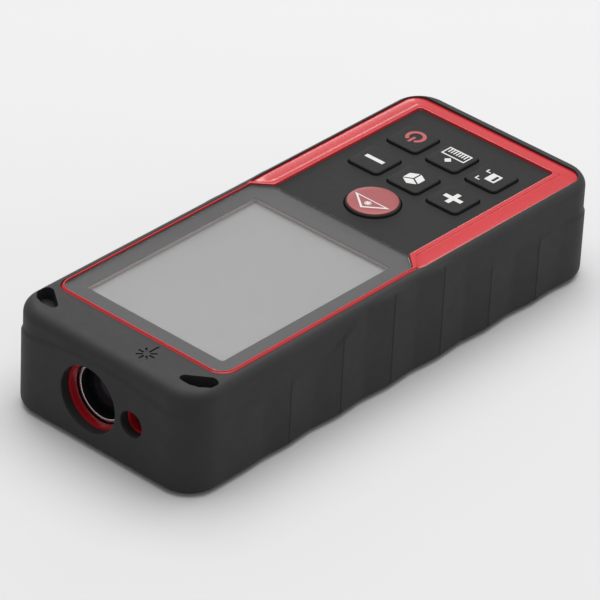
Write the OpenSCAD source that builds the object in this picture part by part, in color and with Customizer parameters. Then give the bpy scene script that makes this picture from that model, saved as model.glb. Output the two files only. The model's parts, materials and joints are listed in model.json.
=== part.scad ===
// Pocket laser distance meter, about 116 x 48 x 23 mm.
// A rubber jacket wraps a two-piece shell that holds the display, the keypad,
// the optical block and two AAA cells behind a hinged cover.
// Millimetres. X is the width, +Y points at the laser end, +Z is up from the
// back face, and the origin is the centre of the back face.

/* [Part] */
// Which sub-part to draw

/* [Body] */
// Overall length, laser end to rear end
body_l = 116; // [100:1:140]
// Overall width
body_w = 48; // [44:0.5:56]
// Height of the jacket's top face
jacket_top = 22.4; // [20:0.1:26]
// Corner radius in plan
corner_r = 7.1; // [5:0.1:10]
// Radius of the jacket's bottom edge
foot_r = 1.9; // [1:0.1:3]
// Radius of the jacket's top edge
brow_r = 2.4; // [1:0.1:3]
// Jacket thickness at the sides
side_t = 1.6; // [1.2:0.1:2.4]
// Jacket thickness at the two ends
end_t = 2.0; // [1.4:0.1:3]
// Thickness of the jacket's bottom lip
lip_t = 1.15; // [0.8:0.05:1.6]

/* [Jacket relief] */
// Number of upright grooves on each side
groove_count = 6; // [0:1:8]
// Spacing of the grooves
groove_pitch = 14.2; // [10:0.1:18]
// Position of the groove nearest the rear end
groove_first_y = -39.6; // [-50:0.1:0]
// Depth of each V-shaped groove; it is twice as wide as deep
groove_d = 0.4; // [0.1:0.05:0.8]
// Height where the grooves end
groove_top = 16.4; // [10:0.1:19]
// How far the two corner slots go down from the deck, through the red shell
slot_sink = 1.3; // [0.1:0.1:1.6]
// Depth of the sun mark pressed into the front strip
mark_d = 0.35; // [0.1:0.05:0.8]
// Radius of the sun mark's hub
mark_r = 0.8; // [0.4:0.1:1.5]
// Number of rays on the sun mark
ray_count = 8; // [4:1:16]
// Length of one ray
ray_l = 1.7; // [1:0.1:3]
// Width of one ray
ray_w = 0.45; // [0.2:0.05:1]

/* [Shell] */
// Gap between the jacket and the shell
shell_gap = 0.05; // [0.02:0.01:0.2]
// Shell wall thickness
shell_wall = 1.5; // [1:0.1:2.5]
// Height where the two shell halves meet
parting_z = 11; // [8:0.5:14]
// Underside of the shell's deck
deck_bottom = 19.6; // [18:0.1:20]
// Top of the shell's deck
deck_top = 20.8; // [20:0.1:21]
// Height of the red bezel's inner lip
bezel_top = 22.55; // [22:0.05:23]
// Height of the bezel's outer edge beside the keypad
bezel_low = 21.9; // [21:0.05:22.5]
// Half width of the bezel
bezel_half = 21.95; // [20:0.05:23]
// Rear end of the bezel
bezel_rear = -55; // [-57:0.1:-50]
// Front end of the bezel
bezel_front = 48.2; // [44:0.1:52]
// Width of the bezel's flat inner lip
bezel_lip = 1; // [0.5:0.1:2]
// Corner radius of the bezel at the laser end
bezel_nose_r = 3.4; // [2:0.1:5]
// Corner radius of the bezel at the rear end
bezel_tail_r = 3.4; // [2:0.1:5]

/* [Display] */
// Half width of the window
window_half = 20.87; // [19:0.01:22]
// Rear edge of the window
window_rear = -8.2; // [-12:0.1:-5]
// Front edge of the window
window_front = 47.1; // [44:0.1:50]
// Top of the window
window_top = 22.3; // [21.5:0.05:23]
// Window thickness
window_t = 1.15; // [0.8:0.05:2]
// Size of the two cut corners at the keypad end
window_cut = 3; // [1:0.1:5]
// Width of the visible display
view_w = 34.7; // [25:0.1:38]
// Rear edge of the visible display
view_rear = -2.9; // [-5:0.1:2]
// Front edge of the visible display
view_front = 43.3; // [38:0.1:45]
// Top of the display panel
lcd_top = 20.1; // [19.5:0.05:20.5]
// Display panel thickness
lcd_t = 0.8; // [0.5:0.05:1.2]

/* [Keypad] */
// Half width of the keypad plate
keypad_half = 17.3; // [15:0.1:20]
// Rear edge of the keypad plate
keypad_rear = -51; // [-53:0.1:-45]
// Top of the keypad plate
keypad_top = 22.05; // [21:0.05:22.2]
// Key size
key_s = 7.9; // [6:0.1:10]
// Key corner radius
key_r = 1.1; // [0.3:0.1:2]
// Height of the key tops
key_top = 22.63; // [22:0.01:23.5]
// Key spacing across the body
key_pitch_x = 10.13; // [8:0.01:14]
// Position of the plus, volume and minus row
row_front_y = -29.3; // [-35:0.1:-20]
// Position of the unit, area and power row
row_rear_y = -40.75; // [-48:0.05:-36]
// Key travel when pressed
key_travel = 0.6; // [0.3:0.05:1]
// Gap around a key
key_gap = 0.2; // [0.1:0.05:0.5]
// Position of the measuring button
measure_y = -17.4; // [-22:0.1:-12]
// Radius of the measuring button
measure_r = 5.5; // [4:0.1:7]
// Radius of the red cap on the measuring button
cap_r = 5.1; // [3.5:0.1:6.5]
// Top of the red cap
cap_top = 22.8; // [22:0.05:24]

/* [Optics] */
// Height of both optical axes
axis_z = 10.55; // [8:0.05:13]
// Sideways position of the receiving axis
receiver_x = 2.4; // [-5:0.1:8]
// Radius of the receiving hole in the jacket
receiver_hole_r = 6.9; // [5:0.1:8]
// Sideways position of the laser axis
laser_x = -8.7; // [-14:0.1:-6]
// Radius of the laser hole in the jacket
laser_hole_r = 2.7; // [1.5:0.1:4]
// Radius of the receiving lens
lens_r = 5.4; // [4:0.1:6]
// Ball radius of the lens's curved face
lens_ball_r = 11; // [8:0.5:20]
// Rear face of the optical block
chassis_rear = 26; // [20:0.5:35]
// Front face of the optical block
chassis_front = 53.2; // [50:0.1:54]

/* [Battery] */
// Cell radius, AAA size
cell_r = 5.25; // [5:0.05:7.5]
// Cell length with its button, AAA size
cell_l = 44.5; // [40:0.5:50]
// Sideways position of each cell
cell_x = 5.6; // [5.3:0.05:8]
// Height of the cell axes
cell_z = 7.55; // [7:0.05:9]
// Wall thickness of the cell bay
bay_wall = 1; // [0.8:0.1:1.5]
// Half width of the cell bay, inside
bay_half = 11.3; // [11:0.1:13]
// Rear inside face of the cell bay
bay_rear = -52.2; // [-53:0.1:-45]
// Front inside face of the cell bay
bay_front = -1.8; // [-5:0.1:0]
// Half width of the battery cover
cover_half = 13; // [11:0.1:16]
// Gap around the battery cover
cover_gap = 0.35; // [0.2:0.05:0.6]
// Radius of the cover's hinge pins
hinge_r = 0.4; // [0.3:0.05:0.6]
// Running clearance around the hinge pins
hinge_clear = 0.06; // [0.02:0.01:0.1]

/* [Boards] */
// Top of the main board
board_top = 17.2; // [16:0.1:18]
// Board thickness
board_t = 1.2; // [0.8:0.1:1.6]
// Half width of the main board
board_half = 19.6; // [17:0.1:20]
// Height of the dome switches
dome_h = 0.8; // [0.5:0.1:1]

/* [Hidden] */
$fn = 48;
edge_fn = 32;

// shared tolerances: cut = how far a cutting tool overshoots a face
cut = 1;
hair = 0.05;

// shell, fitted inside the jacket
shell_w = body_w - 2 * side_t - 2 * shell_gap;
shell_l = body_l - 2 * end_t - 2 * shell_gap;
shell_r = corner_r - side_t;
inner_w = shell_w - 2 * shell_wall;
inner_l = shell_l - 2 * shell_wall;
inner_r = shell_r - shell_wall;
front_plate_half = shell_w / 2 - shell_r;

// lower shell: thin rim above the jacket's lip, thicker panel inside it
rim_z = lip_t + hair;
panel_z = 0.4;
floor_top = 2;
panel_w = 39.8;
panel_l = 106.8;
panel_r = 3;

// display stack
window_bottom = window_top - window_t;
mask_t = 0.15;
mask_bottom = window_bottom - mask_t;
lcd_half = 18.8;
lcd_rear = -6;
lcd_front = 45;
lcd_bottom = lcd_top - lcd_t;
holder_half = 19.6;
holder_bottom = 17.9;
holder_top = mask_bottom - hair;
light_t = 1.25;
zebra_half = 15;
zebra_rear = -5.6;
zebra_front = -3.6;

// keypad stack
plate_bottom = deck_top + hair;
keypad_front = window_rear - hair * 2;
keypad_open_half = 15.4;
keypad_open_rear = -46.8;
flange_top = 20.65;
flange_t = 0.6;
flange_lip = 0.5;
nub_r = 1.5;
dome_gap = 0.3;
nub_bottom = board_top + dome_h + dome_gap + key_travel;
membrane_bottom = 18.35;
membrane_t = 0.4;
key_depth = 0.15;

// battery bay
bay_top = 13.4;
roof_t = 0.8;
cover_bottom = panel_z;
cover_top = 1.6;
cover_rear = -52.6;
cover_front = -2;
hinge_y = -2.7;
hinge_z = 1.15;
hinge_l = 1;
latch_half = 5;
latch_l = 4.6;
latch_travel = 1;
latch_rear = cover_rear - 0.1;
latch_top = 1.05;

// fastener positions
boss_x = 16.6;
boss_rear_y = -50.2;
boss_front_y = 50.4;
boss_r = 2.3;
post_x = 17.3;
post_ys = [-38, 14];
post_r = 1.9;
ear_xs = [-15.8, 12.8];
ear_ys = [31, 45];
ear_r = 2.2;
ear_top = 5;
chassis_left = -13.2;
chassis_right = 10.2;
chassis_bottom = 3.4;
chassis_top = 17.7;
seat_y = 47.5;
seat_r = 6.1;
barrel_r = 3;

// colours
jacket_colour = [0.03, 0.03, 0.03];
red_colour = [0.75, 0.05, 0.06];
black_colour = [0.05, 0.05, 0.05];
key_colour = [0.06, 0.06, 0.06];
glass_colour = [0.6, 0.62, 0.62, 0.35];
lcd_colour = [0.42, 0.43, 0.42];
board_colour = [0.05, 0.25, 0.12];
metal_colour = [0.7, 0.7, 0.72];
gold_colour = [0.8, 0.62, 0.25];
white_colour = [0.85, 0.85, 0.85];

// ---------- helpers ----------

// box between two corners
module block(lo, hi) {
    translate(lo)
        cube(hi - lo);
}

// rounded rectangle, centred
module rounded_outline(w, l, r) {
    square([w - 2 * r, l], center = true);
    square([w, l - 2 * r], center = true);
    for (sx = [-1, 1])
        for (sy = [-1, 1])
            translate([sx * (w / 2 - r), sy * (l / 2 - r)])
                circle(r);
}

// rounded plate between two heights
module plate(w, l, r, z0, z1, y_mid = 0, x_mid = 0) {
    translate([x_mid, y_mid, z0])
        linear_extrude(z1 - z0)
            rounded_outline(w, l, r);
}

// rounded plate given by its rear and front edges
module long_plate(half, rear, front, r, z0, z1) {
    plate(2 * half, front - rear, r, z0, z1, (front + rear) / 2);
}

// round bar along Y
module rod_y(r, y0, y1, x, z) {
    translate([x, y0, z])
        rotate([-90, 0, 0])
            cylinder(r = r, h = y1 - y0);
}

// tapered round bar along Y
module cone_y(ra, rb, y0, y1, x, z) {
    translate([x, y0, z])
        rotate([-90, 0, 0])
            cylinder(r1 = ra, r2 = rb, h = y1 - y0);
}

// cross-section of the soft block: flat bottom and top, rounded edges
module soft_section(half, h, rb, rt) {
    translate([0, 0])
        square([half - rt, h]);
    square([half - rb, h / 2]);
    translate([0, rb])
        square([half, h - rb - rt]);
    translate([half - rb, rb])
        circle(rb, $fn = edge_fn);
    translate([half - rt, h - rt])
        circle(rt, $fn = edge_fn);
}

// both halves of that section
module soft_section_full(half, h, rb, rt) {
    soft_section(half, h, rb, rt);
    mirror([1, 0])
        soft_section(half, h, rb, rt);
}

// block with rounded upright corners and rounded top and bottom edges
module soft_block(w, l, h, r, rb, rt) {
    for (sx = [-1, 1])
        for (sy = [-1, 1])
            translate([sx * (w / 2 - r), sy * (l / 2 - r), 0])
                rotate_extrude()
                    soft_section(r, h, rb, rt);
    translate([0, l / 2 - r, 0])
        rotate([90, 0, 0])
            linear_extrude(l - 2 * r)
                soft_section_full(w / 2, h, rb, rt);
    translate([-w / 2 + r, 0, 0])
        rotate([90, 0, 90])
            linear_extrude(w - 2 * r)
                soft_section_full(l / 2, h, rb, rt);
}

// the bezel's outline as a block, grown by a small gap
module bezel_block(grow, z0, z1) {
    long_plate(bezel_half + grow, 0, bezel_front + grow,
        bezel_nose_r + grow, z0, z1);
    long_plate(bezel_half + grow, bezel_rear - grow, bezel_front / 2,
        bezel_tail_r + grow, z0, z1);
}

// ---------- jacket ----------

// one slot through the jacket's front corner and the red deck below it
module corner_window(side) {
    slot = [[16.2, 52.95], [20.7, 49.6], [21.7, 49.8], [21.6, 51.3],
        [20.5, 52.5], [18.8, 53.05]];
    translate([0, 0, deck_top - slot_sink])
        linear_extrude(jacket_top)
            polygon([for (p = slot) [side * p[0], p[1]]]);
}

// small pressed sun mark above the laser hole
module sun_mark() {
    mark_x = -6.6;
    mark_y = 52.2;
    translate([mark_x, mark_y, jacket_top - mark_d]) {
        cylinder(r = mark_r, h = cut);
        for (i = [0 : ray_count - 1])
            rotate([0, 0, i * 360 / ray_count])
                translate([mark_r / 2, -ray_w / 2, 0])
                    cube([ray_l, ray_w, cut]);
    }
}

module side_grooves() {
    cutter = groove_d * sqrt(2);
    for (side = [-1, 1])
        for (i = [0 : groove_count - 1])
            translate([side * body_w / 2, groove_first_y + i * groove_pitch,
                    foot_r])
                rotate([0, 0, 45])
                    translate([-cutter / 2, -cutter / 2, 0])
                        cube([cutter, cutter, groove_top - foot_r]);
}

module rubber_jacket() {
    color(jacket_colour)
        difference() {
            soft_block(body_w, body_l, jacket_top, corner_r, foot_r, brow_r);
            plate(body_w - 2 * side_t, body_l - 2 * end_t, shell_r,
                lip_t, deck_top + hair);
            plate(panel_w + 2 * hair, panel_l + 2 * hair, panel_r,
                -cut, lip_t + cut);
            bezel_block(hair, deck_top - cut, jacket_top + cut);
            rod_y(receiver_hole_r, body_l / 2 - end_t - cut,
                body_l / 2 + cut, receiver_x, axis_z);
            rod_y(laser_hole_r, body_l / 2 - end_t - cut,
                body_l / 2 + cut, laser_x, axis_z);
            cone_y(receiver_hole_r, receiver_hole_r + 0.5,
                body_l / 2 - 0.5, body_l / 2 + hair, receiver_x, axis_z);
            cone_y(laser_hole_r, laser_hole_r + 0.3,
                body_l / 2 - 0.3, body_l / 2 + hair, laser_x, axis_z);
            corner_window(-1);
            corner_window(1);
            sun_mark();
            side_grooves();
        }
}

// ---------- shells ----------

// outline of the window, with two corners cut at the keypad end
module window_outline(grow) {
    front = window_front + grow;
    rear = window_rear - grow;
    half = window_half + grow;
    nose_r = 2.6;
    difference() {
        translate([0, (front + rear) / 2])
            rounded_outline(2 * half, front - rear, nose_r);
        for (side = [-1, 1])
            translate([side * half, rear])
                rotate([0, 0, 45])
                    square(window_cut * sqrt(2), center = true);
    }
}

// slopes cut into the bezel beside and behind the keypad
module bezel_slopes() {
    slope_end = -5.2;
    crease_x = keypad_half + bezel_lip + 0.1;
    crease_y = keypad_rear - bezel_lip;
    slope = (bezel_top - bezel_low) / (bezel_half - crease_x);
    reach = 2;
    for (side = [-1, 1])
        translate([0, slope_end, 0])
            rotate([90, 0, 0])
                linear_extrude(slope_end - bezel_rear + cut)
                    polygon([
                        [side * crease_x, bezel_top],
                        [side * (bezel_half + reach),
                            bezel_low - slope * reach],
                        [side * (bezel_half + reach), bezel_top + cut],
                        [side * crease_x, bezel_top + cut]]);
    translate([-bezel_half - cut, 0, 0])
        rotate([90, 0, 90])
            linear_extrude(2 * bezel_half + 2 * cut)
                polygon([
                    [crease_y, bezel_top],
                    [bezel_rear - reach, bezel_low - slope * reach],
                    [bezel_rear - reach, bezel_top + cut],
                    [crease_y, bezel_top + cut]]);
}

module bezel_solid() {
    difference() {
        bezel_block(0, deck_top, bezel_top);
        bezel_slopes();
    }
}

module boss_places() {
    for (sx = [-1, 1])
        for (y = [boss_rear_y, boss_front_y])
            translate([sx * boss_x, y, 0])
                children();
}

module upper_shell() {
    color(red_colour)
        difference() {
            union() {
                difference() {
                    plate(shell_w, shell_l, shell_r, parting_z, deck_top);
                    plate(inner_w, inner_l, inner_r,
                        parting_z - cut, deck_bottom);
                }
                block([-front_plate_half + hair, inner_l / 2,
                        floor_top + hair],
                    [front_plate_half - hair, shell_l / 2,
                        parting_z + cut]);
                bezel_solid();
                boss_places()
                    translate([0, 0, floor_top + hair])
                        cylinder(r = boss_r, h = deck_bottom - floor_top);
            }
            translate([0, 0, deck_top])
                linear_extrude(jacket_top)
                    window_outline(hair);
            long_plate(keypad_half + 2 * hair, keypad_rear - hair,
                keypad_front + cut, 1.2, deck_top, jacket_top + cut);
            long_plate(holder_half + 0.4, window_rear + 0.8, 46.2, 2,
                deck_bottom - cut, deck_top + cut);
            long_plate(keypad_open_half, keypad_open_rear, -9.8, 1.5,
                deck_bottom - cut, deck_top + cut);
            corner_window(-1);
            corner_window(1);
            rod_y(seat_r + 0.2, inner_l / 2 - cut, shell_l / 2 + cut,
                receiver_x, axis_z);
            rod_y(laser_hole_r - 0.5, inner_l / 2 - cut,
                shell_l / 2 + cut, laser_x, axis_z);
            boss_places()
                translate([0, 0, floor_top])
                    cylinder(r = 1, h = 9);
        }
}

module post_places() {
    for (sx = [-1, 1])
        for (y = post_ys)
            translate([sx * post_x, y, 0])
                children();
}

module ear_places() {
    for (x = ear_xs)
        for (y = ear_ys)
            translate([x, y, 0])
                children();
}

module lower_shell() {
    color(black_colour)
        difference() {
            union() {
                difference() {
                    plate(shell_w, shell_l, shell_r, rim_z,
                        parting_z - hair);
                    plate(inner_w, inner_l, inner_r, floor_top, parting_z);
                }
                plate(panel_w, panel_l, panel_r, panel_z, floor_top);
                // cell bay walls and roof
                block([-bay_half - bay_wall, bay_rear - bay_wall,
                        floor_top - hair],
                    [bay_half + bay_wall, bay_front + bay_wall,
                        bay_top + roof_t]);
                post_places()
                    translate([0, 0, floor_top - hair])
                        cylinder(r = post_r,
                            h = board_top - board_t - floor_top + hair);
                ear_places()
                    translate([0, 0, floor_top - hair])
                        cylinder(r = ear_r,
                            h = chassis_bottom - floor_top);
                // thickening around each hinge hole
                for (side = [-1, 1])
                    block([side * (cover_half + 1.5) - 1.1, hinge_y - 1.2,
                            floor_top - hair],
                        [side * (cover_half + 1.5) + 1.1, hinge_y + 1.2,
                            floor_top + 0.6]);
            }
            // inside of the cell bay
            block([-bay_half, bay_rear, -cut],
                [bay_half, bay_front, bay_top]);
            // opening closed by the battery cover
            block([-cover_half - cover_gap, cover_rear - cover_gap, -cut],
                [cover_half + cover_gap, cover_front + cover_gap,
                    floor_top + hair]);
            // hinge holes
            translate([-cover_half - cover_gap - hinge_l, hinge_y, hinge_z])
                rotate([0, 90, 0])
                    cylinder(r = hinge_r + hinge_clear,
                        h = 2 * (cover_half + cover_gap + hinge_l),
                        $fn = 24);
            // the upper shell's front plate fills this gap
            block([-front_plate_half, inner_l / 2 - hair, floor_top],
                [front_plate_half, shell_l / 2 + cut, parting_z + cut]);
            boss_places() {
                translate([0, 0, -cut])
                    cylinder(r = 1.2, h = floor_top + 2 * cut);
                translate([0, 0, panel_z - cut])
                    cylinder(r = 2.1, h = cut + 0.9);
            }
            post_places()
                translate([0, 0, 11.5])
                    cylinder(r = 0.75, h = 6);
            ear_places()
                translate([0, 0, 1.4])
                    cylinder(r = 0.9, h = 4);
        }
}

// blank rating plate stuck to the back
module rating_label() {
    color(white_colour)
        plate(28, 34, 1.5, panel_z - 0.15, panel_z - 0.02, 24);
}

// ---------- display ----------

module display_window() {
    color(glass_colour)
        translate([0, 0, window_bottom])
            linear_extrude(window_t)
                window_outline(0);
}

module window_mask() {
    color(black_colour)
        translate([0, 0, mask_bottom])
            linear_extrude(mask_t)
                difference() {
                    window_outline(0);
                    translate([0, (view_front + view_rear) / 2])
                        rounded_outline(view_w, view_front - view_rear,
                            0.6);
                }
}

module window_gasket() {
    color(black_colour)
        translate([0, 0, deck_top])
            linear_extrude(mask_bottom - deck_top)
                difference() {
                    window_outline(-0.05);
                    translate([0, 19.3])
                        rounded_outline(2 * (holder_half + 0.45), 53.6, 2);
                }
}

module lcd_holder() {
    rear = lcd_rear - 0.9;
    front = lcd_front + 0.8;
    color(white_colour)
        difference() {
            union() {
                long_plate(holder_half, rear, front, 1.5, holder_bottom,
                    holder_top);
                // clips under the deck at the front
                for (x = [-12, 12])
                    block([x - 2, front - 1, 18.4], [x + 2, front + 1.6, 19.4]);
                // feet on the main board
                for (x = [-11, 11])
                    block([x - 3, rear, board_top + hair],
                        [x + 3, rear + 0.7, holder_bottom + hair]);
            }
            long_plate(lcd_half + hair, lcd_rear - hair, lcd_front + hair,
                0.5, holder_bottom - cut, lcd_top + hair);
            long_plate(view_w / 2 + 0.1, view_rear - 0.1, view_front + 0.2,
                0.6, lcd_top, holder_top + cut);
        }
}

module lcd_panel() {
    color(lcd_colour)
        long_plate(lcd_half, lcd_rear, lcd_front, 0.4, lcd_bottom, lcd_top);
}

module lcd_backlight() {
    color(white_colour)
        long_plate(lcd_half - 0.6, view_rear + 0.1, lcd_front - 0.2, 0.4,
            lcd_bottom - hair - light_t, lcd_bottom - hair);
}

module display_connector() {
    color(key_colour)
        block([-zebra_half, zebra_rear, board_top + hair],
            [zebra_half, zebra_front, lcd_bottom - hair]);
}

// ---------- keypad ----------

module key_places() {
    for (x = [-key_pitch_x, 0, key_pitch_x])
        for (y = [row_front_y, row_rear_y])
            translate([x, y, 0])
                children();
}

module keypad_plate() {
    color(black_colour)
        difference() {
            long_plate(keypad_half, keypad_rear, keypad_front, 1,
                plate_bottom, keypad_top);
            key_places()
                plate(key_s + 2 * key_gap, key_s + 2 * key_gap,
                    key_r + key_gap, plate_bottom - cut, keypad_top + cut);
            translate([0, measure_y, plate_bottom - cut])
                cylinder(r = measure_r + key_gap, h = 3 * cut);
        }
}

module keypad_membrane() {
    half = 15.1;
    rear = -46.4;
    front = -10.2;
    rim = 0.8;
    color(key_colour)
        difference() {
            union() {
                long_plate(half, rear, front, 1.5, membrane_bottom,
                    membrane_bottom + membrane_t);
                difference() {
                    long_plate(half, rear, front, 1.5, board_top + hair,
                        membrane_bottom + membrane_t);
                    long_plate(half - rim, rear + rim, front - rim, 0.9,
                        board_top, membrane_bottom);
                }
            }
            key_places()
                translate([0, 0, membrane_bottom - cut])
                    cylinder(r = nub_r + 0.5, h = 2 * cut);
            translate([0, measure_y, membrane_bottom - cut])
                cylinder(r = nub_r + 1, h = 2 * cut);
        }
}

// a key without its legend, at the origin of its own place
module key_blank() {
    plate(key_s, key_s, key_r, flange_top - flange_t, key_top);
    plate(key_s + 2 * flange_lip, key_s + 2 * flange_lip, key_r + flange_lip,
        flange_top - flange_t, flange_top);
    translate([0, 0, nub_bottom])
        cylinder(r = nub_r, h = flange_top - nub_bottom);
}

// a key with whatever its children cut into the top
module key_at(x, y) {
    color(key_colour)
        translate([x, y, 0])
            difference() {
                key_blank();
                translate([0, 0, key_top - key_depth])
                    children();
            }
}

// one bar of a legend
module legend_bar(w, l) {
    translate([-w / 2, -l / 2, 0])
        cube([w, l, cut]);
}

// hollow rectangle of a legend
module legend_frame(w, l, t) {
    difference() {
        legend_bar(w, l);
        translate([0, 0, -cut])
            scale([1, 1, 3])
                legend_bar(w - 2 * t, l - 2 * t);
    }
}

module plus_key() {
    key_at(-key_pitch_x, row_front_y) {
        legend_bar(3.6, 0.9);
        legend_bar(0.9, 3.6);
    }
}

module minus_key() {
    key_at(key_pitch_x, row_front_y)
        legend_bar(3.6, 0.9);
}

module volume_key() {
    key_at(0, row_front_y)
        legend_frame(3.2, 3.2, 0.6);
}

module area_key() {
    key_at(0, row_rear_y)
        legend_frame(4.4, 2.6, 0.6);
}

module unit_key() {
    key_at(-key_pitch_x, row_rear_y)
        legend_frame(2, 3.4, 0.5);
}

module power_key() {
    ring_r = 1.6;
    ring_t = 0.45;
    key_at(key_pitch_x, row_rear_y) {
        difference() {
            cylinder(r = ring_r, h = cut);
            translate([0, 0, -cut])
                cylinder(r = ring_r - ring_t, h = 3 * cut);
            translate([-0.5, -ring_r - cut, -cut])
                cube([1, ring_r + cut, 3 * cut]);
        }
        translate([-0.22, -ring_r - 0.2, 0])
            cube([0.45, ring_r, cut]);
    }
}

module measure_button() {
    skirt_top = 22.35;
    color(key_colour)
        translate([0, measure_y, 0]) {
            translate([0, 0, flange_top - flange_t])
                cylinder(r = measure_r, h = skirt_top - flange_top + flange_t);
            translate([0, 0, flange_top - flange_t])
                cylinder(r = measure_r + flange_lip, h = flange_t);
            translate([0, 0, nub_bottom])
                cylinder(r = nub_r + 0.5, h = flange_top - nub_bottom);
        }
}

// red disc with a triangle pressed into it
module measure_cap() {
    cap_bottom = 22.4;
    mark = [[0, 3.2], [-2.8, -1.7], [2.8, -1.7]];
    color(red_colour)
        translate([0, measure_y, 0])
            difference() {
                translate([0, 0, cap_bottom])
                    cylinder(r = cap_r, h = cap_top - cap_bottom);
                translate([0, 0, cap_top - key_depth])
                    linear_extrude(cut)
                        difference() {
                            polygon(mark);
                            scale(0.78)
                                polygon(mark);
                        }
            }
}

// ---------- boards ----------

module main_board() {
    rear = -53;
    front = 20.5;
    color(board_colour)
        difference() {
            long_plate(board_half, rear, front, 1, board_top - board_t,
                board_top);
            for (side = [-1, 1])
                block([side * 17 - 3.2, rear - cut, board_top - 2 * board_t],
                    [side * 17 + 3.2, -47.4, board_top + cut]);
            post_places()
                translate([0, 0, board_top - 2 * board_t])
                    cylinder(r = 0.9, h = 3 * board_t);
        }
}

// packages on the underside of the main board
module board_components() {
    top = board_top - board_t - 0.02;
    chips = [[0, 8, 9, 9, 1.2], [-8, -8, 5, 4, 1.1], [6, -12, 6, 5, 1.1],
        [-4, -26, 7, 7, 1.2], [8, -30, 4, 3, 1], [0, -42, 8, 4, 1.1],
        [-14.5, 4, 3, 5, 1.4], [13.5, 2, 3, 6, 1.4]];
    color(black_colour)
        for (c = chips)
            block([c[0] - c[2] / 2, c[1] - c[3] / 2, top - c[4]],
                [c[0] + c[2] / 2, c[1] + c[3] / 2, top]);
}

module dome_switches() {
    color(metal_colour) {
        key_places()
            translate([0, 0, board_top + 0.02])
                cylinder(r1 = 2.6, r2 = 1.6, h = dome_h);
        translate([0, measure_y, board_top + 0.02])
            cylinder(r1 = 3.4, r2 = 2, h = dome_h);
    }
}

module buzzer() {
    color(black_colour)
        translate([16.6, -20, board_top - board_t - 3.3])
            difference() {
                cylinder(r = 3.6, h = 3.25);
                translate([0, 0, -cut])
                    cylinder(r = 0.8, h = 1 + cut);
            }
}

// thin ribbon between the main board and the receiver board
module flex_ribbon() {
    ribbon_w = 6;
    t = 0.2;
    bend = 1;
    x0 = receiver_x - ribbon_w / 2;
    top = board_top + hair + t;
    y_end = 24.2;
    color(gold_colour) {
        block([x0, 17, top - t], [x0 + ribbon_w, y_end - bend, top]);
        translate([x0, y_end - bend, top - bend])
            rotate([90, 0, 90])
                linear_extrude(ribbon_w)
                    intersection() {
                        difference() {
                            circle(bend);
                            circle(bend - t);
                        }
                        square(2 * bend);
                    }
        block([x0, y_end - t, 13], [x0 + ribbon_w, y_end, top - bend]);
    }
}

// ---------- optics ----------

module optics_chassis() {
    color(metal_colour)
        difference() {
            union() {
                block([chassis_left, chassis_rear, chassis_bottom],
                    [chassis_right, chassis_front, chassis_top]);
                for (y = ear_ys) {
                    block([ear_xs[0], y - ear_r, chassis_bottom],
                        [chassis_left + cut, y + ear_r, ear_top]);
                    block([chassis_right - cut, y - ear_r, chassis_bottom],
                        [ear_xs[1], y + ear_r, ear_top]);
                }
                ear_places()
                    translate([0, 0, chassis_bottom])
                        cylinder(r = ear_r, h = ear_top - chassis_bottom);
            }
            rod_y(seat_r, seat_y, chassis_front + cut, receiver_x, axis_z);
            cone_y(2.4, 5.2, 28, seat_y + hair, receiver_x, axis_z);
            rod_y(2.4, chassis_rear - cut, 28 + hair, receiver_x, axis_z);
            rod_y(barrel_r + hair, chassis_rear - cut, chassis_front + cut,
                laser_x, axis_z);
            ear_places()
                translate([0, 0, chassis_bottom - cut])
                    cylinder(r = 1, h = ear_top);
        }
}

module receiver_lens() {
    rear = 49.3;
    front = 53.4;
    color(glass_colour)
        intersection() {
            rod_y(lens_r, rear, front, receiver_x, axis_z);
            translate([receiver_x, front - lens_ball_r, axis_z])
                sphere(lens_ball_r, $fn = 64);
        }
}

module lens_ring() {
    color(metal_colour)
        difference() {
            rod_y(seat_r - hair, 51.6, 54.2, receiver_x, axis_z);
            rod_y(lens_r + hair, 51.6 - cut, 54.2 + cut, receiver_x, axis_z);
        }
}

module receiver_baffle() {
    color(black_colour)
        difference() {
            rod_y(seat_r - hair, seat_y + hair, 49.2, receiver_x, axis_z);
            rod_y(4.9, seat_y - cut, 49.2 + cut, receiver_x, axis_z);
        }
}

module receiver_board() {
    color(board_colour)
        block([-4, 24.3, 4], [8.8, 25.5, 16.6]);
}

module light_detector() {
    color(metal_colour) {
        rod_y(2.3, 25.52, 26.2, receiver_x, axis_z);
        rod_y(1.9, 26.2, 27.6, receiver_x, axis_z);
    }
}

module laser_barrel() {
    color(metal_colour)
        difference() {
            rod_y(barrel_r, 36, 52.8, laser_x, axis_z);
            rod_y(2.1, 36 - cut, 52.8 + cut, laser_x, axis_z);
        }
}

module collimating_lens() {
    color(glass_colour)
        intersection() {
            rod_y(2.05, 48, 50, laser_x, axis_z);
            translate([laser_x, 50 - 5, axis_z])
                sphere(5, $fn = 64);
        }
}

module laser_diode() {
    pin_circle = 1.27;
    color(gold_colour) {
        rod_y(2.8, 34.6, 35.95, laser_x, axis_z);
        rod_y(1.9, 35.9, 39, laser_x, axis_z);
        for (a = [0, 90, 180])
            rod_y(0.25, 27, 34.7, laser_x + pin_circle * cos(a),
                axis_z + pin_circle * sin(a));
    }
}

module laser_window() {
    color(glass_colour)
        rod_y(2.9, 53.5, inner_l / 2 - hair, laser_x, axis_z);
}

// ---------- battery ----------

// one cell lying along +Y, its button at the +Y end
module cell() {
    button_r = 1.9;
    button_l = 0.9;
    rod_y(cell_r, -cell_l / 2, cell_l / 2 - button_l, 0, 0);
    rod_y(button_r, -cell_l / 2, cell_l / 2, 0, 0);
}

module battery_left() {
    color(gold_colour)
        translate([-cell_x, -2.4 - cell_l / 2, cell_z])
            cell();
}

module battery_right() {
    color(gold_colour)
        translate([cell_x, -51.6 + cell_l / 2, cell_z])
            rotate([0, 0, 180])
                cell();
}

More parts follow.
